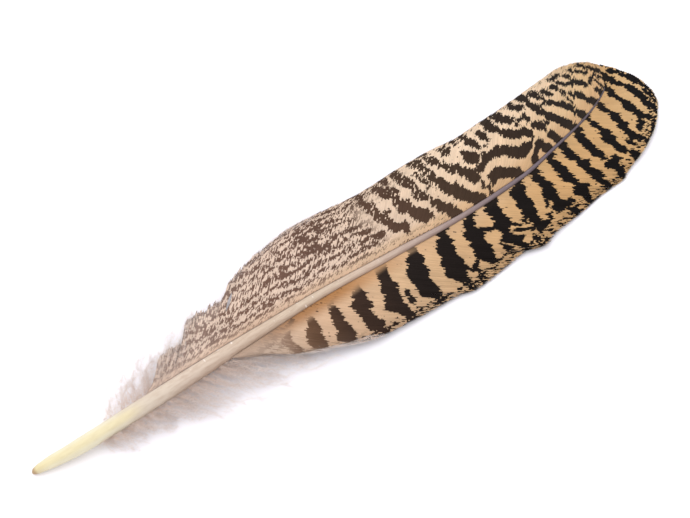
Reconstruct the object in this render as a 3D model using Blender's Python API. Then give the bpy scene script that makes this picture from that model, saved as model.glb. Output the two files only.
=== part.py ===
"""A peacock's wing feather, 300 mm long, lying on its underside with its upper side in view.

The quill's tip points to -X and the feather's tip to +X. The shaft arches a few millimetres clear of the
surface it lies on, and both vanes slope down from it until their edges touch. The origin is the middle of
the feather's footprint, at the height of its lowest point.
"""
import math

import bmesh
import bpy
import numpy as np
from mathutils import Matrix, Vector

MM = 0.001

# Shaft, in millimetres: the line of its middle seen from above, then the parting line past its end
SHAFT_LINE = [
    (0, -0.7), (20, -3.2), (60, -4.1), (110, -4.0), (150, -5.9), (185, -7.3), (215, -6.0),
    (240, -1.5), (262, 3.6), (277, 9.1), (282.5, 12.2), (286.6, 18.0), (291, 24.0),
]
# Distance from the quill's tip along the line, and the shaft's radius there
SHAFT_RADII = [
    (0, 0.7), (0.8, 1.25), (2.5, 1.7), (7, 2.3), (18, 2.9), (40, 3.1), (60, 3.05), (76, 2.8), (94, 2.3),
    (112, 1.9), (130, 1.65), (158, 1.5), (183, 1.2), (209, 1.0), (240, 0.65), (261, 0.42), (286, 0.2),
]
SHAFT_END = 286
LINE_POINTS_PER_ROW = 40
HEADING_STEP = 1
ARCH_HEIGHT = 7.0
ARCH_SPAN = 303
SHAFT_RINGS = 46
SHAFT_SIDES = 12
# Rings stand closer towards the quill's tip as this goes up from 1
RING_CROWDING = 1.5
PIT_DEPTH = 1.6
PIT_RIM = 0.25
PIT_SLOPE = 0.1

# Vanes, in millimetres: one row for each barb that sets the outline, as the distance along the shaft of its
# root, and then the x, y and height of its tip
OUTER_BARBS = [
    (78, 89.6, -12.4, 5.5), (80, 96.6, -15.3, 5.5), (83, 102.0, -20.0, 5.0), (88.5, 112.7, -24.3, 4.2),
    (98, 127.7, -29.3, 2.6), (113, 149.8, -31.4, 1.6), (127, 164.2, -32.4, 1.2), (133, 172.3, -34.3, 1.0),
    (148, 186.0, -33.2, 0.8), (160, 197.0, -32.3, 1.4), (170, 206.5, -34.8, 1.8), (177, 214.0, -32.6, 1.6),
    (190, 228.3, -31.3, 0.9), (206, 243.0, -29.4, 0.5), (219, 254.8, -29.0, 0.6), (227, 260.0, -26.9, 1.0),
    (240, 271.5, -23.5, 1.8), (255, 284.0, -17.6, 2.0), (266, 292.0, -11.6, 1.4), (273.5, 298.4, -4.6, 0.8),
    (279, 300.6, 3.3, 0.5), (283.5, 299.7, 10.6, 0.5), (287, 296.9, 16.3, 0.5), (291, 294.5, 20.3, 0.6),
    (296, 291.6, 23.9, 0.7),
]
INNER_BARBS = [
    (46, 53.5, 6.0, 5.5), (47, 56.0, 9.6, 5.0), (49, 61.0, 11.8, 5.0), (52.5, 67.8, 11.0, 5.0),
    (53.5, 72.5, 18.3, 4.5), (58, 78.8, 19.5, 4.2), (62.5, 87.7, 19.4, 3.8), (66, 92.0, 21.0, 3.4),
    (67, 95.0, 23.8, 3.2), (72, 107.0, 28.3, 2.8), (79, 118.0, 30.3, 2.3), (88, 128.6, 31.8, 1.9),
    (101, 143.0, 31.2, 1.5), (113, 155.1, 29.9, 1.4), (123, 165.5, 29.4, 1.6), (136, 180.0, 30.0, 1.8),
    (150, 195.2, 30.1, 1.8), (166, 212.0, 29.0, 1.4), (178, 226.4, 30.2, 0.8), (191, 238.2, 30.9, 0.5),
    (204, 250.2, 32.0, 0.5), (219, 263.2, 33.1, 0.8), (234, 273.9, 34.1, 0.9), (246, 280.7, 32.9, 0.8),
    (259, 286.0, 30.9, 0.6), (270, 289.0, 28.4, 0.5), (279, 290.1, 26.4, 0.5), (287, 291.0, 24.6, 0.6),
]
# Row of INNER_BARBS after which the vane has split open, and how far in from its edge the split runs
SPLIT_ROW = 7
SPLIT_START = 0.5
COLUMNS_PER_ROW = 3
CELLS_ALONG_BARB = 6
VANE_THICKNESS = 0.8
CAMBER = 1.6
# How far above the shaft's middle a barb grows, as a share of the shaft's radius there
BARB_LIFT = 0.25
# How far a barb's path swings off a straight line: its fast start, and its lazy S
OUTER_SWING = (0.45, 0.0)
INNER_SWING = (0.1, 0.35)
# The barbs of the inner vane's base hug the shaft first: their swing, the last station that has it
# whole, and the first that has none of it
BASE_SWING = (-0.5, 0.0)
BASE_END = 60
MIDDLE_START = 90

# Down, in millimetres: one row for each lock that sets the outline, as its root along the shaft, and then
# the x and y of its tip
OUTER_LOCKS = [
    (24, 30, -6), (28, 34.5, -12.5), (37, 47, -14.5), (48, 62, -21.5), (62, 78, -24), (76, 98, -25),
    (88, 116, -27),
]
INNER_LOCKS = [(28, 35.5, 5), (33, 38.5, 13), (40, 50, 14.5), (48, 62.4, 16.2), (60, 76.5, 21.7)]
OUTER_LOCK_COUNT = 25
INNER_LOCK_COUNT = 16
LOCK_RADII = [(0, 1.1), (0.12, 2.0), (0.4, 2.4), (0.75, 1.5), (1, 0.3)]
LOCK_SIDES = 6
LOCK_FLATNESS = 0.5
LOCK_DROP = 0.55
LOCK_SHORTEST = 0.78
LOCK_TIP_HEIGHT = 0.7
LOCK_CLEARANCE = 0.1
# How far a lock bows sideways, as a share of its length
LOCK_BOW = 0.12
# Turn from one lock to the next in the wave that makes some of them shorter
LOCK_WAVE_TURN = 2.4
# How far below the shaft's middle the down grows, as a share of the shaft's radius there
DOWN_LIFT = -0.45
STRIP_WIDTH = 2.0
STRIP_HEIGHT = 1.7
STRIP_STEP = 5
STRIP_SIDES = 6
STRIP_MARGIN = 2

# Clear space between neighbouring pieces
GAP = 0.35
# Edges that are bent by more degrees than this are shaded sharp
SHARP_ANGLE = 50

KERATIN = ("shaft_keratin", (0.76, 0.68, 0.52, 1), 0.38)
BARRED_VANE = ("barred_vane", (0.45, 0.31, 0.17, 1), 0.62)
SPECKLED_VANE = ("speckled_vane", (0.36, 0.27, 0.19, 1), 0.66)
DOWN_FLUFF = ("down_fluff", (0.62, 0.54, 0.49, 1), 0.9)


def clear_scene():
    """Take away every object that the new file holds."""
    for thing in list(bpy.data.objects):
        bpy.data.objects.remove(thing, do_unlink=True)


def make_finish(name, colour, roughness):
    """A plain Principled material of one colour."""
    finish = bpy.data.materials.new(name)
    finish.use_nodes = True
    shader = finish.node_tree.nodes["Principled BSDF"]
    shader.inputs["Base Color"].default_value = colour
    shader.inputs["Roughness"].default_value = roughness
    shader.inputs["Metallic"].default_value = 0.0
    return finish


def through(rows, place):
    """Point of a smooth curve through rows: place 0 is the first row, place 1 the second, and so on.

    Each column is a cubic that never overshoots its rows, so a notch between two rows stays a notch.
    """
    rows = np.asarray(rows, float)
    steps = np.diff(rows, axis=0)
    before = steps[:-1]
    after = steps[1:]
    same_way = before * after > 0
    total = np.where(same_way, before + after, 1.0)
    slopes = np.vstack([steps[:1], np.where(same_way, 2 * before * after / total, 0.0), steps[-1:]])
    first = min(max(int(place), 0), len(rows) - 2)
    t = place - first
    start_share = 2 * t**3 - 3 * t**2 + 1
    start_pull = t**3 - 2 * t**2 + t
    end_pull = t**3 - t**2
    return (start_share * rows[first] + (1 - start_share) * rows[first + 1]
            + start_pull * slopes[first] + end_pull * slopes[first + 1])


class ShaftLine:
    """The middle line of the shaft, measured along its length from the quill's tip."""

    def __init__(self):
        places = np.linspace(0, len(SHAFT_LINE) - 1, LINE_POINTS_PER_ROW * len(SHAFT_LINE))
        self.points = np.array([through(SHAFT_LINE, place) for place in places])
        strides = np.linalg.norm(np.diff(self.points, axis=0), axis=1)
        self.stations = np.concatenate([[0], np.cumsum(strides)])

    def plan(self, station):
        """Place of the line seen from above."""
        return np.array([np.interp(station, self.stations, self.points[:, axis]) for axis in (0, 1)])

    def heading(self, station):
        """Unit vector along the line, towards the feather's tip."""
        middle = min(max(station, HEADING_STEP), self.stations[-1] - HEADING_STEP)
        way = self.plan(middle + HEADING_STEP) - self.plan(middle - HEADING_STEP)
        return way / np.linalg.norm(way)

    def radius(self, station):
        """Radius of the shaft, which is nothing past the shaft's end."""
        if station > SHAFT_END:
            return 0.0
        stations, radii = zip(*SHAFT_RADII)
        return float(np.interp(station, stations, radii))

    def height(self, station):
        """Height of the line over the surface: the shaft rests on the quill's tip and arches from there."""
        rise = math.sin(math.pi * min(max(station, 0), ARCH_SPAN) / ARCH_SPAN)
        return self.radius(min(station, SHAFT_END)) + ARCH_HEIGHT * rise

    def beside(self, station, side, distance, lift):
        """Point beside the line: side is 1 for the inner vane's side and -1 for the outer's."""
        x, y = self.plan(station)
        along_x, along_y = self.heading(station)
        return Vector((x - side * distance * along_y, y + side * distance * along_x,
                       self.height(station) + lift))


LINE = ShaftLine()


def loft(mesh, rings):
    """Bridge rings of points, each the same number, into one closed tube.

    Returns its first and last cap.
    """
    loops = []
    for ring in rings:
        verts = bmesh.ops.create_circle(mesh, segments=len(ring), radius=1)["verts"]
        for vert, point in zip(verts, ring):
            vert.co = point * MM
        loops.append(verts)
    edge_loops = [list({edge for vert in verts for edge in vert.link_edges}) for verts in loops]
    for near, far in zip(edge_loops, edge_loops[1:]):
        bmesh.ops.bridge_loops(mesh, edges=near + far)
    return [mesh.faces.new(verts) for verts in (loops[0], loops[-1])]


def ring_around(centre, way, width, height, sides):
    """Points of an ellipse about centre, square to way, with its height as near upright as it can be."""
    across = way.cross(Vector((0, 0, 1))).normalized()
    up = across.cross(way).normalized()
    angles = [math.tau * step / sides for step in range(sides)]
    return [centre + across * width * math.cos(angle) + up * height * math.sin(angle) for angle in angles]


def make_object(name, mesh, finish):
    """Close a bmesh into a named, smooth-shaded object."""
    bmesh.ops.recalc_face_normals(mesh, faces=mesh.faces)
    data = bpy.data.meshes.new(name)
    mesh.to_mesh(data)
    mesh.free()
    data.shade_smooth()
    data.set_sharp_from_angle(angle=math.radians(SHARP_ANGLE))
    data.materials.append(finish)
    thing = bpy.data.objects.new(name, data)
    bpy.context.collection.objects.link(thing)
    return thing


def make_shaft(finish):
    """Quill and rachis as one tapered rod, with the small open pit at the quill's blunt tip."""
    rings = []
    for share in np.linspace(0, 1, SHAFT_RINGS):
        station = SHAFT_END * share ** RING_CROWDING
        centre = LINE.beside(station, 1, 0, 0)
        ahead = LINE.beside(station + HEADING_STEP, 1, 0, 0)
        way = ahead - LINE.beside(station - HEADING_STEP, 1, 0, 0)
        radius = LINE.radius(station)
        rings.append(ring_around(centre, way.normalized(), radius, radius, SHAFT_SIDES))
    mesh = bmesh.new()
    quill_cap, _ = loft(mesh, rings)
    bmesh.ops.recalc_face_normals(mesh, faces=mesh.faces)
    bmesh.ops.inset_region(mesh, faces=[quill_cap], thickness=PIT_RIM * MM)
    pit = bmesh.ops.extrude_discrete_faces(mesh, faces=[quill_cap])["faces"][0]
    bmesh.ops.translate(mesh, verts=pit.verts, vec=Vector((1, 0, PIT_SLOPE)) * PIT_DEPTH * MM)
    return make_object("shaft", mesh, finish)


def swing_at(station, swing, base_swing):
    """Swing of the barb that grows at a station: base_swing at the vane's base, and swing past it."""
    base_share = float(np.interp(station, (BASE_END, MIDDLE_START), (1, 0)))
    return [usual + base_share * (base - usual) for usual, base in zip(swing, base_swing)]


def barb_point(row, side, along_barb, swing, base_swing):
    """Point of a vane's middle surface, on the barb that row describes.

    along_barb is 0 at the shaft and 1 at the barb's tip.
    """
    station, tip_x, tip_y, tip_height = row
    root = LINE.beside(station, side, LINE.radius(station) + GAP, BARB_LIFT * LINE.radius(station))
    along = Vector((*LINE.heading(station), 0))
    across = Vector((-side * along.y, side * along.x, 0))
    reach = Vector((tip_x, tip_y, tip_height)) - root
    fast_start, lazy_s = swing_at(station, swing, base_swing)
    sideways = (along_barb + fast_start * along_barb * (1 - along_barb)
                - lazy_s / math.tau * math.sin(math.tau * along_barb))
    point = root + along * reach.dot(along) * along_barb + across * reach.dot(across) * sideways
    point.z = root.z + reach.z * along_barb ** CAMBER
    return point


def make_vane(name, rows, side, swing, base_swing, finish, split_row=None):
    """One vane: a cambered sheet laid out barb by barb, and thickened evenly to both sides."""
    columns = COLUMNS_PER_ROW * (len(rows) - 1)
    mesh = bmesh.new()
    bmesh.ops.create_grid(mesh, x_segments=columns, y_segments=CELLS_ALONG_BARB, size=0.5)
    if split_row is not None:
        middle = (split_row + 0.5) / (len(rows) - 1) - 0.5
        torn = [face for face in mesh.faces
                if abs(face.calc_center_median().x - middle) < 0.5 / columns
                and face.calc_center_median().y + 0.5 > SPLIT_START]
        bmesh.ops.delete(mesh, geom=torn, context="FACES")
    for vert in mesh.verts:
        row = through(rows, (vert.co.x + 0.5) * (len(rows) - 1))
        vert.co = barb_point(row, side, vert.co.y + 0.5, swing, base_swing) * MM
    vane = make_object(name, mesh, finish)
    wall = vane.modifiers.new("thickness", "SOLIDIFY")
    wall.thickness = VANE_THICKNESS * MM
    wall.offset = 0.0
    return vane


def lock_rings(row, side, reach):
    """Rings of one lock of down, which swells from its root and sinks to the surface at its tip."""
    station, tip_x, tip_y = row
    shaft_radius = LINE.radius(station)
    distance = shaft_radius + GAP + STRIP_WIDTH / 2
    root = LINE.beside(station, side, distance, DOWN_LIFT * shaft_radius)
    tip = root.lerp(Vector((tip_x, tip_y, 0)), reach)
    rings = []
    for share, radius in LOCK_RADII:
        centre = root.lerp(tip, share)
        bow = LOCK_BOW * (tip - root).length * share * (1 - share)
        centre += side * bow * Vector((0, 1, 0))
        centre.z = root.z + (LOCK_TIP_HEIGHT - root.z) * share ** LOCK_DROP
        centre.z = max(centre.z, radius * LOCK_FLATNESS + LOCK_CLEARANCE)
        way = (tip - root).normalized()
        rings.append(ring_around(centre, way, radius, radius * LOCK_FLATNESS, LOCK_SIDES))
    return rings


def strip_rings(first_station, last_station, side):
    """Rings of the narrow strip of down that lies against the shaft, where the locks grow."""
    rings = []
    for station in np.arange(first_station, last_station, STRIP_STEP):
        radius = LINE.radius(station)
        centre = LINE.beside(station, side, radius + GAP + STRIP_WIDTH / 2, DOWN_LIFT * radius)
        way = Vector((*LINE.heading(station), 0))
        rings.append(ring_around(centre, way, STRIP_WIDTH / 2, STRIP_HEIGHT / 2, STRIP_SIDES))
    return rings


def make_down(name, rows, count, side, finish):
    """Locks of down along one side of the shaft, joined with the strip that they grow from."""
    mesh = bmesh.new()
    for number in range(count):
        row = through(rows, number / (count - 1) * (len(rows) - 1))
        wave = 0.5 + 0.5 * math.sin(LOCK_WAVE_TURN * number)
        loft(mesh, lock_rings(row, side, LOCK_SHORTEST + (1 - LOCK_SHORTEST) * wave))
    down = make_object(name, mesh, finish)
    strip_mesh = bmesh.new()
    loft(strip_mesh, strip_rings(rows[0][0] - STRIP_MARGIN, rows[-1][0] + 2 * STRIP_MARGIN, side))
    strip = make_object(name + "_strip", strip_mesh, finish)
    strip.hide_render = True
    strip.display_type = "WIRE"
    join = down.modifiers.new("join", "BOOLEAN")
    join.operation = "UNION"
    join.solver = "EXACT"
    join.use_self = True
    join.object = strip
    return down


def centre_footprint(things):
    """Move everything so that the feather's box has its bottom centre at the origin."""
    depsgraph = bpy.context.evaluated_depsgraph_get()
    corners = [corner for thing in things for corner in measured_points(thing, depsgraph)]
    low = Vector([min(corner[axis] for corner in corners) for axis in range(3)])
    high = Vector([max(corner[axis] for corner in corners) for axis in range(3)])
    shift = Matrix.Translation((-(low.x + high.x) / 2, -(low.y + high.y) / 2, -low.z))
    for thing in bpy.data.objects:
        thing.data.transform(shift)


def measured_points(thing, depsgraph):
    """Points of an object with its modifiers."""
    return [vert.co.copy() for vert in thing.evaluated_get(depsgraph).data.vertices]


def main():
    """Build the feather."""
    clear_scene()
    down_fluff = make_finish(*DOWN_FLUFF)
    pieces = [
        make_shaft(make_finish(*KERATIN)),
        make_vane("outer_vane", OUTER_BARBS, -1, OUTER_SWING, OUTER_SWING, make_finish(*BARRED_VANE)),
        make_vane("inner_vane", INNER_BARBS, 1, INNER_SWING, BASE_SWING,
                  make_finish(*SPECKLED_VANE), SPLIT_ROW),
        make_down("outer_down", OUTER_LOCKS, OUTER_LOCK_COUNT, -1, down_fluff),
        make_down("inner_down", INNER_LOCKS, INNER_LOCK_COUNT, 1, down_fluff),
    ]
    centre_footprint(pieces)


main()
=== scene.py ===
"""A peacock's barred wing feather lying on a pale table, seen from its lower left.

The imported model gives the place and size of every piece. This script grows the fine surface on it: a smooth
shaft, some four hundred closed barbs for each vane, and the down, as thin branches with their barbules.
Feather sizes are in millimetres, measured from the quill's tip: x along the feather, y across it and z up.
"""
import logging
import math
from dataclasses import dataclass
from enum import Enum

import bmesh
import bpy
import numpy as np
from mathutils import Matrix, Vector


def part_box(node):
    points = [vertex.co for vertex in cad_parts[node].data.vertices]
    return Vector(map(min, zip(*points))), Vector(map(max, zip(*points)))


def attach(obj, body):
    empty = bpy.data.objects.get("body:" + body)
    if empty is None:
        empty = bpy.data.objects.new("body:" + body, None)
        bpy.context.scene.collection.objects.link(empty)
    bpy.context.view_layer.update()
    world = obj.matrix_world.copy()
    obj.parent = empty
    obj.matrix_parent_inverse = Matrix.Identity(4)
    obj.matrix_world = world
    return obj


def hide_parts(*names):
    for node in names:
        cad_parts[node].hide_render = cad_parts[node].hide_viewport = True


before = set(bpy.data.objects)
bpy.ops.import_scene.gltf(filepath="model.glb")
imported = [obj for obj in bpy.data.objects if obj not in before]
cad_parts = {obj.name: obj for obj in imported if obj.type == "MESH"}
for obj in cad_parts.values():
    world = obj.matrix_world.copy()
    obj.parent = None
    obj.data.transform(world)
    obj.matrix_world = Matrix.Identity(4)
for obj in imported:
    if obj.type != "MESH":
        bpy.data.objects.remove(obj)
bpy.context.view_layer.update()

MM = 0.001
# Nearly straight up, so that no thread runs along it
ALMOST_UP = (0.12, 0.07, 1.0)

log = logging.getLogger("feather")


class Side(Enum):
    """Side of the shaft that a vane or a lock of down grows on."""

    INNER = 1
    OUTER = -1


# Middle line of the shaft seen from above, then the parting line past its end
SHAFT_LINE = (
    (0, -0.7), (20, -3.2), (60, -4.1), (110, -4.0), (150, -5.9), (185, -7.3), (215, -6.0),
    (240, -1.5), (262, 3.6), (277, 9.1), (282.5, 12.2), (286.6, 18.0), (291, 24.0),
)
# Distance from the quill's tip along the line, and the shaft's radius there
SHAFT_RADII = (
    (0, 0.7), (0.8, 1.25), (2.5, 1.7), (7, 2.3), (18, 2.9), (40, 3.1), (60, 3.05), (76, 2.8), (94, 2.3),
    (112, 1.9), (130, 1.65), (158, 1.5), (183, 1.2), (209, 1.0), (240, 0.65), (261, 0.42), (286, 0.2),
)

# One row for each barb that sets a vane's outline: its root along the shaft, and x, y and z of its tip
OUTER_BARBS = (
    (78, 89.6, -12.4, 5.5), (80, 96.6, -15.3, 5.5), (83, 102.0, -20.0, 5.0), (88.5, 112.7, -24.3, 4.2),
    (98, 127.7, -29.3, 2.6), (113, 149.8, -31.4, 1.6), (127, 164.2, -32.4, 1.2), (133, 172.3, -34.3, 1.0),
    (148, 186.0, -33.2, 0.8), (160, 197.0, -32.3, 1.4), (170, 206.5, -34.8, 1.8), (177, 214.0, -32.6, 1.6),
    (190, 228.3, -31.3, 0.9), (206, 243.0, -29.4, 0.5), (219, 254.8, -29.0, 0.6), (227, 260.0, -26.9, 1.0),
    (240, 271.5, -23.5, 1.8), (255, 284.0, -17.6, 2.0), (266, 292.0, -11.6, 1.4), (273.5, 298.4, -4.6, 0.8),
    (279, 300.6, 3.3, 0.5), (283.5, 299.7, 10.6, 0.5), (287, 296.9, 16.3, 0.5), (291, 294.5, 20.3, 0.6),
    (296, 291.6, 24.0, 0.7),
)
INNER_BARBS = (
    (46, 53.5, 6.0, 5.5), (47, 56.0, 9.6, 5.0), (49, 61.0, 11.8, 5.0), (52.5, 67.8, 11.0, 5.0),
    (53.5, 72.5, 18.3, 4.5), (58, 78.8, 19.5, 4.2), (62.5, 87.7, 19.4, 3.8), (66, 92.0, 21.0, 3.4),
    (67, 95.0, 23.8, 3.2), (72, 107.0, 28.3, 2.8), (79, 118.0, 30.3, 2.3), (88, 128.6, 31.8, 1.9),
    (101, 143.0, 31.2, 1.5), (113, 155.1, 29.9, 1.4), (123, 165.5, 29.4, 1.6), (136, 180.0, 30.0, 1.8),
    (150, 195.2, 30.1, 1.8), (166, 212.0, 29.0, 1.4), (178, 226.4, 30.2, 0.8), (191, 238.2, 30.9, 0.5),
    (204, 250.2, 32.0, 0.5), (219, 263.2, 33.1, 0.8), (234, 273.9, 34.1, 0.9), (246, 280.7, 32.9, 0.8),
    (259, 286.0, 30.9, 0.6), (270, 289.0, 28.4, 0.5), (279, 290.1, 26.4, 0.5), (287, 291.2, 24.5, 0.6),
)

# Locks of down: root along the shaft, and x and y of the tip
OUTER_LOCKS = (
    (24, 30, -6), (28, 34.5, -12.5), (37, 47, -14.5), (48, 62, -21.5), (62, 78, -24), (76, 98, -25),
    (88, 116, -27),
)
INNER_LOCKS = ((28, 35.5, 5), (33, 38.5, 13), (40, 50, 14.5), (48, 62.4, 16.2), (60, 76.5, 21.7))

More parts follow.
